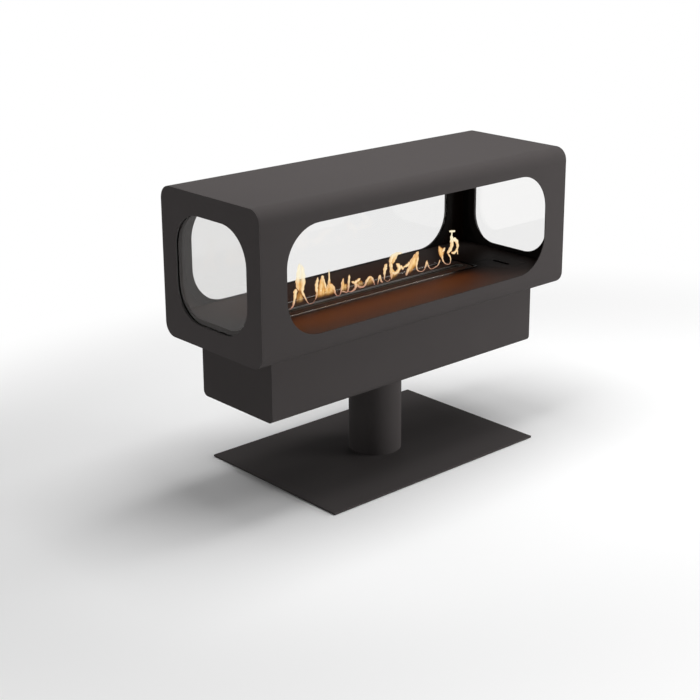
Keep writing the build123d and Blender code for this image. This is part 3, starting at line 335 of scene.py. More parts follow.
# %% Inside masks
def wrap_inside(finish):
    """1 on the wrap's inner faces: the distance to a rounded square, |p| - b past the corner's
    centre less the corner's radius, is below minus most of the sheet's thickness."""
    across = finish.axis("Y").math("ABSOLUTE") - (HOOD_HALF - HOOD_CORNER)
    rise = (finish.axis("Z") - HOOD_MIDDLE).math("ABSOLUTE") - (HOOD_HALF - HOOD_CORNER)
    across_out = across.math("MAXIMUM", 0.0)
    rise_out = rise.math("MAXIMUM", 0.0)
    past_corner = (across_out * across_out + rise_out * rise_out) ** 0.5
    within = across.math("MAXIMUM", rise).math("MINIMUM", 0.0)
    return (past_corner + within) < (HOOD_CORNER - WRAP_SHEET * INNER_SKIN)


def end_inside(finish):
    """1 on an end panel's inner face, by how far a point lies from the middle of the hood."""
    return finish.axis("X").math("ABSOLUTE") < (HOOD_END - END_SHEET * INNER_SKIN)


print("masks ready")

# %% [markdown]
# ## Powder coat
#
# Powder melts into a skin with a very slight orange peel. A plain dark colour would look like
# cardboard, so the coat gets a wide shallow bump and a fine one, a faint cloudiness in its colour
# and a roughness that wanders a little. It has hardly any gloss, because the white background
# would otherwise turn the dark sheets pale where they are seen at a low angle. The plain numbers
# beside each noise, here and below, say how much of it goes into a value.

# %% Powder coat
COAT = (0.0560, 0.0505, 0.0498)
# Painted light: the ends have the same coat as the wrap, and this lighter copy stands for light on
# them.
END_LIT_COAT = (0.0665, 0.0600, 0.0595)  # the ends are a little lighter than the wrap
HEAT_BLACK = (0.0125, 0.0105, 0.0098)
COAT_CLOUD = 5.0  # noise scales are in bumps to a metre
COAT_SPECK = 900.0
COAT_PEEL = 170.0
COAT_HEIGHT = 0.00012  # bump heights are in metres
COAT_ROUGHNESS = 0.6
COAT_GLOSS = 0.02


def powder_coat(name, inside=None, colour=COAT):
    """Anthracite coat, with heat-proof black where the mask of the inside says so."""
    finish = Finish(name)
    cloud = finish.noise(COAT_CLOUD, 4.0)
    speck = finish.noise(COAT_SPECK, 2.0)
    peel = finish.noise(COAT_PEEL, 2.0)
    shade = 0.9 + cloud * 0.12 + speck * 0.08
    parts = {index: shade * part for index, part in enumerate(colour)}
    tint = finish.node("ShaderNodeCombineColor", {}, parts)
    rough = COAT_ROUGHNESS + cloud * 0.06 + speck * 0.05
    if inside is not None:
        mask = inside(finish)
        tint = finish.mix(mask, tint, HEAT_BLACK)
        rough = rough + mask * 0.06
    sockets = {
        "Base Color": tint,
        "Roughness": rough,
        "Specular IOR Level": COAT_GLOSS,
        "Normal": finish.bump(peel * 0.7 + speck * 0.3, COAT_HEIGHT, 0.6),
    }
    return finish.close(sockets)


finishes = {
    "wrap_coat": powder_coat("wrap_coat", wrap_inside),
    "end_coat": powder_coat("end_coat", end_inside, END_LIT_COAT),
    "anthracite_coat": powder_coat("anthracite_coat"),
}
print("coats", list(finishes))

# %% [markdown]
# ## The deck's coat
#
# The deck has the same kind of coat, with painted shade on it: it is nearly black at the slot,
# deep under the hood, and dark grey at the sill, where more light comes in. Its colour follows
# the distance from the slot, with a little cloud in it, so that the change has no edge. The brown
# that shows there is the fire's light, so it comes from lamps further down in this file and isn't
# painted.

# %% Deck coat
# Painted shade: the deck's coat is darker beside the burner, deep under the hood, than at the sill.
DECK_SHADE_NEAR = (0.0125, 0.0095, 0.0085)  # beside the burner
DECK_LIGHT_FAR = (0.034, 0.0285, 0.027)  # at the sill
DECK_REACH = (0.065, 0.25)  # how far from the slot these two lie
DECK_CLOUD = 0.02  # how far, in metres, the cloud shifts the change
DECK_ROUGHNESS = 0.34
DECK_GLOSS = 0.004
DECK_HEIGHT = 0.00005


def deck_finish(name):
    """Near colour to far colour by a smooth step of |y|, the distance from the slot."""
    finish = Finish(name)
    cloud = finish.noise(COAT_CLOUD, 4.0)
    speck = finish.noise(COAT_SPECK, 2.0)
    # painted shade: darkest at the slot and lighter towards the sill
    away = finish.slope(finish.axis("Y").math("ABSOLUTE") + cloud * DECK_CLOUD, *DECK_REACH)
    sockets = {
        "Base Color": finish.mix(away, DECK_SHADE_NEAR, DECK_LIGHT_FAR),
        "Roughness": DECK_ROUGHNESS + cloud * 0.06 + speck * 0.05,
        "Specular IOR Level": DECK_GLOSS,
        "Normal": finish.bump(speck, DECK_HEIGHT, 0.3),
    }
    return finish.close(sockets)


finishes["deck_coat"] = deck_finish("deck_coat")
print("deck coat from", DECK_SHADE_NEAR, "to", DECK_LIGHT_FAR)

# %% [markdown]
# ## Heat-proof black
#
# Stove paint is a dull black with a fine dry grain, which shows in the bump and in the roughness.
# One function serves the burner's top plate, the heat shield and the frames that clamp the panes,
# which differ only in how dark and how glossy they are. The frame behind the back pane is the
# blackest, which is painted shade, because only darkness shows round the back window.

# %% Heat-proof black
HEAT_CLOUD = 9.0
HEAT_GRAIN = 1400.0
HEAT_HEIGHT = 0.0001
HEAT_ROUGHNESS = 0.5
PLATE_BLACK = (0.029, 0.0245, 0.0225)
# Painted shade: the frame behind the back pane is darker than its black paint.
RETAINER_SHADE_BLACK = (0.0045, 0.0038, 0.0035)


def heat_black(name, base=HEAT_BLACK, gloss=0.03):
    """A colour that clouds up to 1.7 times lighter, with a fine grain in roughness and bump."""
    finish = Finish(name)
    cloud = finish.noise(HEAT_CLOUD, 4.0)
    grain = finish.noise(HEAT_GRAIN, 2.0)
    sockets = {
        "Base Color": finish.mix(cloud, base, shaded(base, 1.7)),
        "Roughness": HEAT_ROUGHNESS + grain * 0.12,
        "Specular IOR Level": gloss,
        "Normal": finish.bump(grain, HEAT_HEIGHT, 0.5),
    }
    return finish.close(sockets)


finishes |= {
    "plate_black": heat_black("plate_black", PLATE_BLACK, 0.015),
    "heat_black": heat_black("heat_black"),
    "retainer_black": heat_black("retainer_black", RETAINER_SHADE_BLACK, 0.01),
}
print("finishes", len(finishes))

# %% [markdown]
# ## Brushed steel
#
# The burner's lip is the thin bright line round its plate, and the trough and the tank below are
# brushed stainless sheet. Brushing leaves lines along the sheet: noise that is stretched a lot
# along X gives them without a picture. The lip's line dies out at its right, in shade, so there its
# colour slopes to nearly black, which is painted shade.

# %% Brushed steel
BRUSHING = (4, 220, 220)  # the noise changes slowly along X and fast across it
BRUSH_LINES = 6.0
BRUSH_HEIGHT = 0.00003
SMUDGES = 14.0
LIP_STEEL = (0.27, 0.235, 0.21)
SHEET_STEEL = (0.6, 0.59, 0.57)
LIP_FADE = (0.29, 0.35)  # where along the hood the lip's bright line dies out
# Painted shade: the lip's colour past that place, where it lies in shade.
LIP_PAINTED_SHADE = (0.012, 0.0105, 0.0095)


def brushed_metal(name, colour, roughness, relief=0.5, fade=None):
    """Sheet with fine lines along X, and painted shade past the places that fade gives."""
    finish = Finish(name)
    lines = finish.noise(BRUSH_LINES, 4.0, 0.6, BRUSHING)
    smudge = finish.noise(SMUDGES)
    tint = finish.mix(lines * 0.5 + smudge * 0.3, colour, shaded(colour, 0.8))
    if fade is not None:
        # painted shade: nearly black past the place where the lip's line dies out
        tint = finish.mix(finish.slope(finish.axis("X"), *fade), tint, LIP_PAINTED_SHADE)
    sockets = {
        "Base Color": tint,
        "Metallic": 1.0,
        "Roughness": roughness + lines * 0.08 + smudge * 0.06,
        "Normal": finish.bump(lines, BRUSH_HEIGHT, relief),
    }
    return finish.close(sockets)


finishes |= {
    "polished_steel": brushed_metal("polished_steel", LIP_STEEL, 0.18, 0.1, LIP_FADE),
    "stainless_sheet": brushed_metal("stainless_sheet", SHEET_STEEL, 0.28),
}
print("finishes", len(finishes))

# %% [markdown]
# ## Zinc plating
#
# Brackets, rails, rings and bolts that nobody sees are zinc plated. Zinc grows in pale crystals a
# few millimetres wide that turn the light differently, and the cells of a Voronoi texture look
# like them: each cell's own random colour sets how bright and how rough it is.

# %% Zinc plating
ZINC_LIGHT = (0.55, 0.56, 0.58)
ZINC_DARK = (0.4, 0.41, 0.43)
ZINC_CRYSTALS = 160.0  # to a metre
ZINC_CLOUD = 25.0
ZINC_HEIGHT = 0.00005


def zinc_plate(name):
    """Cells that differ in brightness and roughness, under a soft cloud."""
    finish = Finish(name)
    sockets = {"Vector": finish.place(), "Scale": ZINC_CRYSTALS}
    crystals = finish.node("ShaderNodeTexVoronoi", {"feature": "F1"}, sockets, output="Color")
    share = finish.node("ShaderNodeSeparateColor", {}, {0: crystals})
    cloud = finish.noise(ZINC_CLOUD)
    sockets = {
        "Base Color": finish.mix(share * 0.5 + cloud * 0.3, ZINC_LIGHT, ZINC_DARK),
        "Metallic": 1.0,
        "Roughness": 0.34 + share * 0.14 + cloud * 0.05,
        "Normal": finish.bump(cloud, ZINC_HEIGHT, 0.4),
    }
    return finish.close(sockets)


finishes["zinc_plated_steel"] = zinc_plate("zinc_plated_steel")
print("zinc crystals to a metre", ZINC_CRYSTALS)

# %% [markdown]
# ## Rubber and moulded plastic
#
# Gaskets, the cap, the switches and the parts on the board are moulded. Moulds leave a fine even
# grain, which shows as a small bump and as slightly uneven gloss. A button that fingers polish gets
# some clear coat on top. One function makes them all from a colour, a roughness and a grain.

# %% Rubber and plastic
# Each one's colour, roughness, grain to a metre and clear coat.
MOULDED = {
    "black_rubber": ((0.02, 0.02, 0.02), 0.75, 400.0, 0.0),
    "black_plastic": ((0.022, 0.022, 0.024), 0.42, 700.0, 0.0),
    "button_plastic": ((0.03, 0.03, 0.033), 0.2, 300.0, 0.4),
    "component_plastic": ((0.09, 0.09, 0.1), 0.45, 700.0, 0.0),
}
MOULD_CLOUD = 18.0
MOULD_HEIGHT = 0.00006


def moulded(name, colour, roughness, grain_scale, coat):
    """A moulded colour, up to 1.35 times lighter where cloud and grain say so."""
    finish = Finish(name)
    grain = finish.noise(grain_scale, 2.0)
    cloud = finish.noise(MOULD_CLOUD)
    lighter = tuple(part * 1.35 + 0.004 for part in colour)
    sockets = {
        "Base Color": finish.mix(cloud * 0.6 + grain * 0.4, colour, lighter),
        "Roughness": roughness + grain * 0.1,
        "Normal": finish.bump(grain, MOULD_HEIGHT, 0.5),
        "Coat Weight": coat,
    }
    return finish.close(sockets)


finishes |= {name: moulded(name, *facts) for name, facts in MOULDED.items()}
print("moulded", list(MOULDED))

# %% [markdown]
# ## Ceramic wool
#
# The strip in the slot is pressed ceramic wool that soaks up the fuel. Short fibres are noise
# pulled out along X, and tufts are a finer noise. The last twelve millimetres below its top are
# dark with soot, which a straight slope of the height gives, broken up by the tufts.

# %% Ceramic wool
SOOT_DEPTH = 0.012
SOOT = (0.06, 0.05, 0.045)
WOOL_LIGHT = (0.74, 0.7, 0.63)
WOOL_DARK = (0.55, 0.5, 0.44)
WOOL_FIBRES = 60.0
WOOL_STRETCH = (1, 5, 5)
WOOL_TUFTS = 240.0
WOOL_HEIGHT = 0.0012


def ceramic_wool(name):
    """Fibres and tufts, with soot near the top."""
    finish = Finish(name)
    fibres = finish.noise(WOOL_FIBRES, 5.0, 0.7, WOOL_STRETCH)
    tufts = finish.noise(WOOL_TUFTS)
    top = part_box("ceramic_strip")[1].z
    sooty = finish.slope(finish.axis("Z"), top - SOOT_DEPTH, top, smooth=False)
    clean = finish.mix(fibres, WOOL_LIGHT, WOOL_DARK)
    sockets = {
        "Base Color": finish.mix(sooty * (0.7 + tufts * 0.3), clean, SOOT),
        "Roughness": 0.9,
        "Normal": finish.bump(fibres * 0.6 + tufts * 0.4, WOOL_HEIGHT, 0.8),
    }
    return finish.close(sockets)


finishes["ceramic_fibre"] = ceramic_wool("ceramic_fibre")
print("soot over the top", SOOT_DEPTH, "m")

# %% [markdown]
# ## The control board
#
# A circuit board is green solder mask over copper. The copper shows through as lighter tracks, and
# the mortar lines of a Brick texture make a good net of them, raised a little by a bump.

# %% Control board
MASK_GREEN = (0.012, 0.085, 0.04)
TRACK_GREEN = (0.03, 0.17, 0.08)
BOARD_CELLS = 60.0
BOARD_GRAIN = 500.0
TRACK_HEIGHT = 0.00004


def circuit_board(name):
    """Solder mask with tracks as a lighter net of cells."""
    finish = Finish(name)
    black, white = (0, 0, 0), (1, 1, 1)
    colours = {"Color1": black, "Color2": black, "Mortar": white}
    size = {"Vector": finish.place(), "Scale": BOARD_CELLS, "Mortar Size": 0.06}
    cells = finish.node("ShaderNodeTexBrick", {"offset": 0.5}, size | colours)
    tracks = finish.node("ShaderNodeSeparateColor", {}, {0: cells})
    grain = finish.noise(BOARD_GRAIN, 2.0)
    sockets = {
        "Base Color": finish.mix(tracks * 0.6 + grain * 0.2, MASK_GREEN, TRACK_GREEN),
        "Roughness": 0.32 + grain * 0.1,
        "Normal": finish.bump(tracks, TRACK_HEIGHT, 0.5),
    }
    return finish.close(sockets)


finishes["board_laminate"] = circuit_board("board_laminate")
print("finishes", len(finishes))

# %% [markdown]
# ## The panes
#
# A real pane shifts what is behind it by a millimetre or two, which nobody sees, but solid glass
# needs many rays and darkens what is behind it. So each face of a pane is a film: it lets light
# straight through and mirrors some of it. How much it mirrors follows the fifth power of the facing
# angle, as on real glass, with a faint smear. In the photograph the right pane is the clearest and
# mirrors the most, so it has numbers of its own.

# %% Panes
GLASS_LETS_THROUGH = 0.925  # each face, besides what it mirrors
GLASS_MIRRORS = 0.02  # seen straight on
RIGHT_LETS_THROUGH = 0.96
RIGHT_MIRRORS = 0.045
MIRROR_TINT = (1.0, 0.96, 0.94)
SMEARS = 3.0


def pane_glass(name, through=GLASS_LETS_THROUGH, mirrored=GLASS_MIRRORS):
    """Clear toughened glass: see-through and mirror mixed by m + (1 - m) facing^5."""
    finish = Finish(name)
    smear = finish.noise(SMEARS)
    tint = (through, through, through * 0.998)
    clear = finish.node("ShaderNodeBsdfTransparent", {}, {"Color": tint})
    mirror = finish.node("ShaderNodeBsdfGlossy", {}, {"Color": MIRROR_TINT, "Roughness": 0.0})
    facing = finish.node("ShaderNodeLayerWeight", {}, {"Blend": 0.5}, output="Facing")
    share = (mirrored + facing**5 * (1 - mirrored)) * (0.97 + smear * 0.06)
    return finish.show(finish.node("ShaderNodeMixShader", {}, {0: share, 1: clear, 2: mirror}))


finishes |= {
    "clear_glass": pane_glass("clear_glass"),
    "right_pane": pane_glass("right_pane", RIGHT_LETS_THROUGH, RIGHT_MIRRORS),
}
print("finishes", len(finishes))

# %% [markdown]
# ## Dressing the CAD nodes
#
# The record says which slot each node takes its finish from. A few nodes have one of their own: the
# shells with a dark inside, whose ends are made lighter as painted light, the pieces of the deck,
# which carry painted shade, the burner's plate, the frame behind the back pane, blackened as
# painted shade, and the right pane. Only materials change, and no mesh does.

# %% Materials on the nodes
OWN_FINISH = {
    "hood_wrap": "wrap_coat",
    "end_panel_left": "end_coat",
    "end_panel_right": "end_coat",
    "right_glass": "right_pane",
    "deck": "deck_coat",
    "deck_hatch": "deck_coat",
    "deck_screws": "deck_coat",
    "burner_top_plate": "plate_black",
    "back_retainer": "retainer_black",
}
slot_of = {part["node"]: part["material_slot"] for part in frame["record"]["subparts"]}
for node_name, node in nodes.items():
    finish_name = OWN_FINISH.get(node_name, slot_of[node_name])
    node.data.materials.clear()
    node.data.materials.append(finishes[finish_name])
print("dressed", len(nodes), "nodes")

# %% [markdown]
# ## The fire
#
# Bioethanol burns from the slot as a row of loose tongues that curl, fork and hook into each other,
# hair thin where they cross the slot and broad where they rise. A volume would look right but can't
# leave Blender. Each tongue is a closed tube of flattened section, carried along a smooth curve,
# and an attribute called core says how far a point lies from its rim. Colour and see-through share
# both follow core, so the rims are soft from any side.

# %% Curves of the tongues
# Each point is a place along the slot, a height and a half width, in millimetres.
TONGUES = {
    "first_lick": [
        (-379, 592, 1.4), (-372, 597, 2.2), (-364, 603, 4), (-359, 618, 5), (-355, 636, 7),
        (-353, 650, 9), (-351, 659, 7),
    ],
    "plume_left": [
        (-337, 648, 3), (-342, 662, 8), (-344, 680, 9), (-341, 700, 9), (-338, 720, 8),
        (-335, 742, 5),
    ],
    "plume_right": [
        (-268, 606, 1.4), (-278, 596, 1.2), (-290, 594, 1.2), (-300, 600, 1.4), (-308, 612, 2.6),
        (-316, 627, 4), (-324, 643, 6), (-322, 660, 9), (-319, 680, 10), (-319, 700, 10),
        (-322, 720, 8), (-326, 738, 5),
    ],
    "spear": [
        (-270, 603, 1.4), (-264, 612, 3), (-261, 626, 4.5), (-263, 641, 7), (-262, 655, 8),
        (-259, 668, 6), (-257, 680, 4),
    ],
    "twin_left": [
        (-244, 612, 4), (-245, 626, 6), (-244, 642, 8), (-241, 658, 8), (-237, 672, 8),
        (-235, 682, 5),
    ],
    "twin_right": [
        (-236, 676, 5), (-231, 660, 6), (-226, 645, 6), (-220, 632, 7), (-212, 636, 7),
        (-208, 650, 6), (-207, 670, 4), (-208, 700, 3),
    ],
    "long_arc": [
        (-211, 648, 5), (-204, 641, 8), (-194, 635, 8), (-186, 623, 6), (-182, 611, 4),
        (-176, 601, 1.6), (-168, 596, 1.3), (-159, 600, 1.4), (-154, 611, 4), (-149, 626, 7),
        (-147, 641, 7), (-144, 656, 4),
    ],
    "spire_foot": [(-152, 607, 2.2), (-143, 606, 2.2), (-134, 602, 2.2), (-126, 600, 2.2)],
    "spire": [
        (-128, 598, 2.2), (-123, 608, 4), (-121, 622, 5), (-120, 636, 5), (-118, 650, 5),
        (-117, 661, 3),
    ],
    "curl": [
        (-124, 603, 1.4), (-112, 599, 2.2), (-101, 601, 4), (-92, 606, 5), (-88, 615, 6),
        (-91, 625, 6), (-100, 630, 5), (-109, 634, 3),
    ],
    "curl_flag": [(-98, 627, 5), (-88, 629, 6), (-77, 633, 6), (-67, 637, 4)],
    "wave": [
        (-84, 622, 5), (-76, 611, 5), (-66, 606, 4.5), (-55, 605, 4), (-46, 609, 4.5),
        (-40, 619, 6), (-32, 628, 6), (-21, 637, 5),
    ],
    "wave_end": [(-24, 634, 5), (-16, 628, 6), (-9, 618, 5), (-4, 608, 2.2), (-1, 599, 1.4)],
    "small_arch": [
        (11, 597, 1.4), (15, 608, 2.2), (19, 620, 4.5), (23, 629, 4), (27, 616, 4), (31, 606, 4),
        (38, 603, 2.2),
    ],
    "small_flag": [
        (43, 606, 1.4), (45, 622, 3.5), (45, 635, 6), (48, 648, 9), (51, 658, 8), (57, 665, 4),
    ],
    "small_foot": [(48, 609, 1.2), (56, 602, 1.2), (66, 602, 1.4), (72, 608, 1.4)],
    "tall_stem": [
        (77, 602, 4), (78, 616, 6), (78, 630, 8), (76, 648, 8), (74, 665, 8), (76, 678, 9),
        (86, 687, 9), (103, 691, 7), (119, 691, 5), (130, 690, 3),
    ],
    "tall_branch": [(80, 660, 6), (88, 670, 8), (97, 681, 7), (106, 690, 5)],
    "ring": [
        (78, 632, 7), (88, 625, 7), (101, 624, 7), (110, 630, 8), (114, 640, 9), (109, 650, 8),
        (99, 657, 5),
    ],
    "ring_link": [(110, 643, 7), (122, 641, 7), (131, 634, 6), (138, 632, 3)],
    "wing": [
        (148, 602, 4), (152, 612, 6), (158, 622, 7), (166, 632, 9), (176, 646, 12), (188, 660, 12),
        (199, 670, 10), (208, 682, 5),
    ],
    "wing_link": [(134, 637, 3), (145, 639, 5), (157, 642, 7), (168, 648, 8)],
    "wing_loop": [
        (206, 672, 5), (204, 655, 6), (200, 638, 5), (199, 625, 4), (203, 614, 3), (213, 607, 1.7),
        (226, 604, 1.6), (238, 609, 1.9), (244, 620, 4), (248, 631, 5), (252, 642, 3),
    ],
    "low_arc": [
        (250, 638, 3), (254, 626, 3.2), (259, 615, 2.4), (269, 605, 1.3), (281, 604, 1.4),
        (292, 607, 1.6), (303, 610, 1.9), (311, 618, 3), (316, 632, 4.5),
    ],
    "cup": [
        (309, 682, 4), (314, 671, 8), (320, 659, 11), (324, 646, 9), (327, 634, 5), (333, 621, 3.2),
        (342, 611, 1.7), (353, 606, 1.4), (365, 605, 1.4), (370, 614, 2.2), (369, 627, 2.8),
        (362, 638, 4.5), (354, 647, 6),
    ],
    "cup_rim": [(341, 670, 3), (334, 663, 6), (326, 656, 8)],
    "last_stem": [
        (350, 646, 4), (360, 652, 8), (369, 660, 9), (375, 674, 9), (375, 688, 10), (374, 700, 8),
        (374, 711, 4), (376, 722, 4),
    ],
    "last_cap": [(361, 727, 3), (370, 724, 5), (381, 723, 5), (392, 722, 3)],
    "last_ring": [
        (376, 694, 8), (388, 691, 9), (399, 683, 8), (404, 670, 7), (404, 657, 6), (396, 646, 6),
        (385, 642, 6), (372, 646, 6),
    ],
    "last_tail": [(403, 652, 4), (405, 642, 3), (406, 632, 2)],
}
print("tongues", len(TONGUES))

# %% [markdown]
# ## The glow between the tongues
#
# Between the tongues the gas glows as thin amber sheets. Each is drawn as an outline, and becomes a
# closed lens that is thickest in its middle and runs out to nothing at its edge.

# %% Outlines of the glow
# Each point is a place along the slot and a height, in millimetres.
GLOWS = {
    "plume_glow": [
        (-346, 650), (-347, 680), (-343, 712), (-336, 744), (-326, 740), (-316, 705), (-315, 668),
        (-322, 645), (-334, 638),
    ],
    "second_glow": [
        (-256, 608), (-258, 640), (-252, 664), (-240, 678), (-230, 664), (-224, 640), (-224, 610),
        (-240, 604),
    ],
    "base_glow": [
        (-268, 606), (-268, 628), (-250, 640), (-226, 636), (-206, 640), (-184, 624), (-180, 606),
        (-222, 602),
    ],
    "first_glow": [(-352, 608), (-350, 634), (-338, 648), (-324, 636), (-316, 612), (-334, 600)],
    "spire_glow": [
        (-154, 606), (-152, 636), (-146, 652), (-140, 634), (-126, 630), (-122, 606), (-138, 600),
    ],
    "curl_glow": [(-84, 604), (-88, 622), (-74, 634), (-58, 626), (-48, 606), (-66, 600)],
    "lobe_glow": [
        (-222, 606), (-218, 634), (-208, 660), (-200, 650), (-188, 636), (-180, 622), (-184, 606),
        (-204, 602),
    ],
    "wave_glow": [(-52, 602), (-46, 618), (-33, 632), (-18, 634), (-6, 616), (-6, 602), (-28, 598)],
    "ring_glow": [
        (72, 602), (70, 640), (78, 650), (88, 636), (100, 630), (112, 640), (122, 640), (118, 618),
        (100, 606), (84, 600),
    ],
    "cap_glow": [(68, 668), (68, 690), (90, 698), (118, 696), (104, 680), (92, 664), (82, 656)],
    "wing_glow": [
        (148, 604), (154, 626), (166, 648), (186, 670), (208, 682), (209, 660), (203, 636),
        (186, 618), (166, 604),
    ],
    "cup_glow": [
        (308, 684), (306, 660), (314, 640), (326, 634), (338, 650), (340, 670), (328, 672),
    ],
}
print("glows", len(GLOWS))

# %% [markdown]
# ## From drawn points to surfaces
#
# A curve through few points needs rounding, and Catmull-Rom rounds it without leaving the points.
# All is drawn on the plane of the slot, and a flame that comes towards the camera would grow, so
# points move in depth along the line of sight, which keeps the drawing. Tubes and lenses are both
# rings of points with one pole at each end, so one function gives the faces of both.

# %% Lines, depths and rings
MM_PER_METRE = 1000


def smooth_line(points, steps, closed=False):
    """Catmull-Rom: between two points the line is a cubic that leaves each along the chord of its
    neighbours. Returns the rows of the line."""
    points = np.asarray(points, float)
    if closed:
        ends = np.vstack((points[-1:], points, points[:2]))
    else:
        ends = np.vstack((2 * points[0] - points[1], points, 2 * points[-1] - points[-2]))
    before, here, there, after = ends[:-3, None], ends[1:-2, None], ends[2:-1, None], ends[3:, None]
    t = np.linspace(0, 1, steps, endpoint=False)[None, :, None]
    rows = 0.5 * (
        2 * here
        + (there - before) * t
        + (2 * before - 5 * here + 4 * there - after) * t**2
        + (3 * here - before - 3 * there + after) * t**3
    ).reshape(-1, points.shape[1])
    return rows if closed else np.vstack((rows, points[-1:]))


def at_depth(places, heights, depths):
    """Points drawn on the plane y = 0, moved to a depth along the camera's line of sight: each is
    C + (P - C) k with k = 1 + y / the camera's distance, so the drawing keeps its outline."""
    drawn = np.column_stack((places, np.zeros(len(places)), heights))
    eye = np.array(CAMERA_PLACE)
    return eye + (drawn - eye) * (1 - depths / eye[1])[:, None]


def capped_rings(rings, around, count):
    """Faces of a tube of rings with one pole at each end, for points that start at count: the
    rings row by row, then the two poles. Square i, j joins points i, j and i, j + 1 to the next
    row, and j wraps round."""
    row, column = np.meshgrid(np.arange(rings - 1), np.arange(around), indexing="ij")
    beside = (column + 1) % around
    corners = (row * around + column, row * around + beside)
    corners += ((row + 1) * around + beside, (row + 1) * around + column)
    squares = np.stack(corners, -1).reshape(-1, 4)
    side = np.arange(around)
    following = (side + 1) % around
    pole = rings * around
    last = pole - around
    start = np.stack((np.full(around, pole), following, side), -1)
    end = np.stack((np.full(around, pole + 1), last + side, last + following), -1)
    return (squares + count).tolist() + (start + count).tolist() + (end + count).tolist()


print("rows of the first lick", len(smooth_line(TONGUES["first_lick"], 6)))

# %% [markdown]
# ## A tongue as a tube
#
# The tube's section is an ellipse, wide across the line of sight and thin in depth. A tongue of
# even width would look like a ribbon, so its width wavers, and each tongue sways forwards and back
# in its own way. Both come from sines, so that every run makes the same fire.

# %% Tongue tubes
TONGUE_SHARE = 0.9  # of the drawn half widths, which were read with the soft rim
TONGUE_STEPS = 6  # rows of the line between two drawn points
TONGUE_SIDES = 12  # points round the tube
TONGUE_FLAT = 0.4  # the section's depth for a width of 1
TIP_POWER = 12  # high, so that the tube keeps its width until close to its ends
SWAY, RIPPLE, WAVER = 0.008, 0.003, 0.16  # metres in depth, metres in depth, share of the width
# Radians to a metre along the slot, a metre of height and a row of the line, and then to a tongue.
SWAY_WAVES, RIPPLE_WAVES, WAVER_WAVES = 55, 140, 0.9
SWAY_SHIFT, WAVER_SHIFT = 1.7, 2.1


def tongue_surface(points, index, count):
    """A closed tube: at each row of the line, centre + w cos(a) across + 0.4 w sin(a) in depth.
    The width wavers by a sine and runs out to points as 1 - t^12, and core is sin(a) squared,
    1 on the ridge and 0 on the rims."""
    line = smooth_line(points, TONGUE_STEPS) / MM_PER_METRE
    sway = SWAY * np.sin(line[:, 0] * SWAY_WAVES + index * SWAY_SHIFT)
    depths = sway + RIPPLE * np.sin(line[:, 1] * RIPPLE_WAVES + index)
    centre = at_depth(line[:, 0], line[:, 1], depths)
    ahead = np.gradient(centre, axis=0)
    across = np.column_stack((ahead[:, 2], np.zeros(len(ahead)), -ahead[:, 0]))
    across /= np.linalg.norm(across, axis=1, keepdims=True)
    tip = (1 - np.abs(np.linspace(-1, 1, len(line))) ** TIP_POWER)[1:-1]
    waver = 1 + WAVER * np.sin(np.arange(1, len(line) - 1) * WAVER_WAVES + index * WAVER_SHIFT)
    wide = (line[1:-1, 2] * TONGUE_SHARE * tip * waver)[:, None, None]
    angle = np.linspace(0, 2 * np.pi, TONGUE_SIDES, endpoint=False)[None, :, None]
    depth = np.array((0.0, 1.0, 0.0))
    section = np.cos(angle) * across[1:-1, None] + TONGUE_FLAT * np.sin(angle) * depth
    rings = (centre[1:-1, None] + wide * section).reshape(-1, 3)
    ridge = np.sin(angle[..., 0]) ** 2 * tip[:, None]
    core = np.concatenate((ridge.ravel(), (0.0, 0.0)))
    faces = capped_rings(len(line) - 2, TONGUE_SIDES, count)
    return np.vstack((rings, centre[:1], centre[-1:])), core, faces


print("points of the cup", len(tongue_surface(TONGUES["cup"], 0, 0)[0]))

# %% [markdown]
# ## A glow as a lens
#
# The lens is made of copies of its outline, drawn in towards the middle. They grow from the middle
# to the full outline on the near side and shrink back again on the far side. The outline is turned
# anticlockwise first, so that the faces look out.

# %% Glow lenses
GLOW_STEPS = 4  # rows of the outline between two drawn points
GLOW_RINGS = 6  # from the middle to the edge
GLOW_HALF = 0.004  # half the lens's thickness
GLOW_POLES = (-0.0015, 0.0055)  # the two poles' depths from the innermost near ring
GLOW_SWAY, GLOW_WAVES = 0.006, 40  # metres in depth, and radians to a metre along the slot


def glow_surface(outline, index, count):
    """A closed lens: rings at middle + r (edge - middle), for r from 0 to 1 on the near side and
    back to 0 on the far side, bulging in depth as 1 - r squared. Core is that same bulge."""
    edge = smooth_line(outline, GLOW_STEPS, closed=True)
    following = np.roll(edge, -1, axis=0)
    if np.sum(edge[:, 0] * following[:, 1] - following[:, 0] * edge[:, 1]) < 0:
        edge = edge[::-1]
    edge = edge / MM_PER_METRE
    middle = edge.mean(axis=0)
    out = np.linspace(0, 1, GLOW_RINGS + 1)[1:]
    share = np.concatenate((out, np.linspace(1, 0, GLOW_RINGS + 1)[1:-1]))
    side = np.concatenate((-np.ones(GLOW_RINGS), np.ones(GLOW_RINGS - 1)))
    bulge = 1 - share**2
    flat = middle + share[:, None, None] * (edge - middle)
    sway = GLOW_SWAY * np.sin(middle[0] * GLOW_WAVES + index)
    depths = sway + np.repeat(GLOW_HALF * side * bulge, len(edge))
    vertices = at_depth(flat[..., 0].ravel(), flat[..., 1].ravel(), depths)
    poles = at_depth(middle[:1].repeat(2), middle[1:].repeat(2), depths[0] + np.array(GLOW_POLES))
    core = np.concatenate((np.repeat(bulge, len(edge)), (1.0, 1.0)))
    return np.vstack((vertices, poles)), core, capped_rings(len(share), len(edge), count)


print("points of the cup's glow", len(glow_surface(GLOWS["cup_glow"], 0, 0)[0]))

# %% [markdown]
# ## Meshes of the fire
#
# All tongues become one mesh and all glows another, each with its core attribute. Both ride on the
# body of the fireplace, because the fire stays over the slot while the small pieces move.


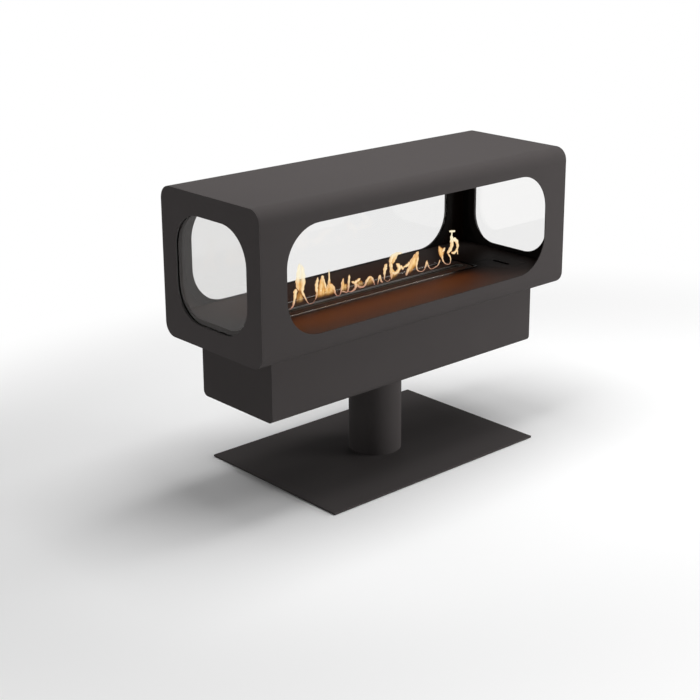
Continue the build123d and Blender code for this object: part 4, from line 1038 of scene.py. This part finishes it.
# %% Flame meshes
def flame_piece(name, surface, drawings, material):
    """Every tongue or glow of one kind as one mesh, with its core attribute."""
    vertices, cores, faces, count = [], [], [], 0
    for index, drawing in enumerate(drawings.values()):
        rows, core, polygons = surface(drawing, index, count)
        vertices.append(rows)
        cores.append(core)
        faces += polygons
        count += len(rows)
    mesh = bpy.data.meshes.new(name)
    mesh.from_pydata(np.vstack(vertices).tolist(), [], faces)
    attribute = mesh.attributes.new("core", "FLOAT", "POINT")
    attribute.data.foreach_set("value", np.concatenate(cores).astype(np.float32))
    mesh.shade_smooth()
    mesh.materials.append(material)
    made = bpy.data.objects.new(name, mesh)
    bpy.context.scene.collection.objects.link(made)
    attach(made, "fireplace")
    return made


print("to be joined", len(TONGUES), "tongues and", len(GLOWS), "glows")

# %% [markdown]
# ## Colour of the tongues
#
# A tongue is cream in its heart and orange at its rim, rose where it is low and thin, and almost
# white at its tips. Its rim lets most light through, so it is dark before the steel and pale before
# the window. It only shines: the shader mirrors nothing and has no colour of its own.

# %% Tongue finish
ROSE_TO_CREAM = (0.596, 0.640)  # heights between which the colour goes from rose to cream
CREAM_TO_PALE = (0.672, 0.700)  # and from cream to almost white at the tips
THIN_TIPS_END = 0.2  # up to here along the hood the tips are thin gas
THINNING = 0.4  # the share that the tips lose there
LICKS = 130.0
LICK_STRETCH = (1, 1, 0.35)  # less along Z, so that the licks stand upright
LICK_BASE, LICK_GAIN = 0.45, 1.1  # the level without licks, and what they add to it
# Colours low over the slot, where the tongue has risen, and at its tips.
RIM_COLOURS = ((0.40, 0.15, 0.09), (0.74, 0.29, 0.07), (1.0, 0.80, 0.46))
HEART_COLOURS = ((0.52, 0.28, 0.21), (0.97, 0.77, 0.45), (1.0, 0.93, 0.70))
RIM_SOLID = 0.62  # the level at which a tongue is no longer see-through


def light_only(finish, colour, alpha):
    """A surface that shines and mirrors nothing."""
    dark = {"Base Color": (0, 0, 0), "Roughness": 1.0, "Specular IOR Level": 0.0}
    shine = {"Emission Color": colour, "Emission Strength": 1.0, "Alpha": alpha}
    return finish.close(dark | shine)


def by_stage(finish, rise, tips, colours):
    """The low, the risen and the tip colour, mixed by two slopes of the height."""
    low, risen, pale = colours
    return finish.mix(tips, finish.mix(rise, low, risen), pale)


def tongue_finish(name):
    """Rim colour to heart colour by core, which upright licks of noise break up."""
    finish = Finish(name)
    core = finish.node("ShaderNodeAttribute", {"attribute_name": "core"}, output="Fac")
    lick = finish.noise(LICKS, 3.0, 0.6, LICK_STRETCH)
    level = core * (LICK_BASE + lick * LICK_GAIN)
    rise = finish.slope(finish.axis("Z"), *ROSE_TO_CREAM)
    tips = finish.slope(finish.axis("Z"), *CREAM_TO_PALE)
    rim = by_stage(finish, rise, tips, RIM_COLOURS)
    heart = by_stage(finish, rise, tips, HEART_COLOURS)
    thin = 1 - tips * (finish.axis("X") < THIN_TIPS_END) * THINNING
    colour = finish.mix(finish.slope(level, 0.0, 1.0), rim, heart)
    return light_only(finish, colour, finish.slope(level, 0.0, RIM_SOLID) * thin)


tongues = flame_piece("flame_tongues", tongue_surface, TONGUES, tongue_finish("flame_tongue"))
print("flame tongues", len(tongues.data.vertices))

# %% [markdown]
# ## Colour of the glow
#
# The glow is amber gas in upright streaks, thinner towards its outline and towards the slot. A ramp
# of three colours turns its level into light, and at the height of the tips it is pale and thin.

# %% Glow finish
GLOW_STOPS = ((0.0, (0.5, 0.16, 0.03)), (0.45, (0.8, 0.38, 0.09)), (1.0, (1.0, 0.68, 0.29)))
GLOW_PALE = (1.0, 0.9, 0.62)
GLOW_RISES = (0.600, 0.636)  # heights between which it comes out of the slot
GLOW_SOLID = (0.8, 0.7)  # from this level on it hides this share of what is behind it
GLOW_THINNING = 0.5  # the share that it loses at the height of the tips
STREAKS = 150.0
STREAK_STRETCH = (1, 1, 0.2)
STREAK_GAIN, STREAK_LOSS = 2.2, 0.35  # so much contrast that gaps open between the streaks


def glow_finish(name):
    """Amber streaks whose level and see-through share both follow core."""
    finish = Finish(name)
    core = finish.node("ShaderNodeAttribute", {"attribute_name": "core"}, output="Fac")
    streaks = finish.noise(STREAKS, 2.0, 0.5, STREAK_STRETCH)
    level = core * (streaks * STREAK_GAIN - STREAK_LOSS)
    amber = finish.node("ShaderNodeValToRGB", {"stops": GLOW_STOPS}, {0: level})
    tips = finish.slope(finish.axis("Z"), *CREAM_TO_PALE)
    fade = finish.slope(finish.axis("Z"), *GLOW_RISES)
    solid = finish.slope(level, 0.0, *GLOW_SOLID, smooth=False)
    alpha = solid * fade * (1 - tips * GLOW_THINNING)
    return light_only(finish, finish.mix(tips, amber, GLOW_PALE), alpha)


glows = flame_piece("flame_glows", glow_surface, GLOWS, glow_finish("flame_glow"))
print("flame glows", len(glows.data.vertices))

# %% [markdown]
# ## Fire light on the deck
#
# The fire turns the deck round it brown. Thin glowing surfaces light their surroundings only
# faintly and with a lot of noise, so three long soft lamps stand for the fire's light. Each one may
# light only the nodes that are named for it, through light linking, because otherwise the light
# meant for the deck would lie on the plate as stripes. No mirror and no camera shows these lamps.

# %% Fire lamps
FIRE_LIGHT = (1.0, 0.31, 0.06)
FIRE_MIDDLE = -0.09  # the deck is brown further to the left than to the right
FIRE_SPAN = (0.9, 0.02)  # a little longer than the row of flames, and very narrow
PLATE_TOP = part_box("burner_top_plate")[1].z
# Which way it faces, how far from the slot and over the plate it stands, how far it dips, its
# power, and the nodes that it lights.
FIRE_LAMPS = {
    "fire_front": (-1, 0.075, 0.07, 0.28, 3.15, ("deck", "deck_hatch", "deck_screws")),
    "fire_under": (0, 0.0, 0.09, 1.0, 0.42, ("burner_top_plate", "burner_lip")),
    "fire_rear": (1, 0.02, 0.08, 0.3, 1.2, ("deck", "hood_wrap", "burner_lip")),
}
for lamp_name, (side, reach, rise, dip, power, lit) in FIRE_LAMPS.items():
    stand = Vector((FIRE_MIDDLE, side * reach, PLATE_TOP + rise))
    aim = stand + Vector((0, side, -dip))
    fire_lamp = soft_box(lamp_name, stand, aim, *FIRE_SPAN, power, FIRE_LIGHT)
    fire_lamp.visible_glossy = False
    fire_lamp.visible_camera = False
    lit_nodes = bpy.data.collections.new(lamp_name + "_lit")
    for lit_name in lit:
        lit_nodes.objects.link(nodes[lit_name])
    fire_lamp.light_linking.receiver_collection = lit_nodes
print("fire lamps", len(FIRE_LAMPS))
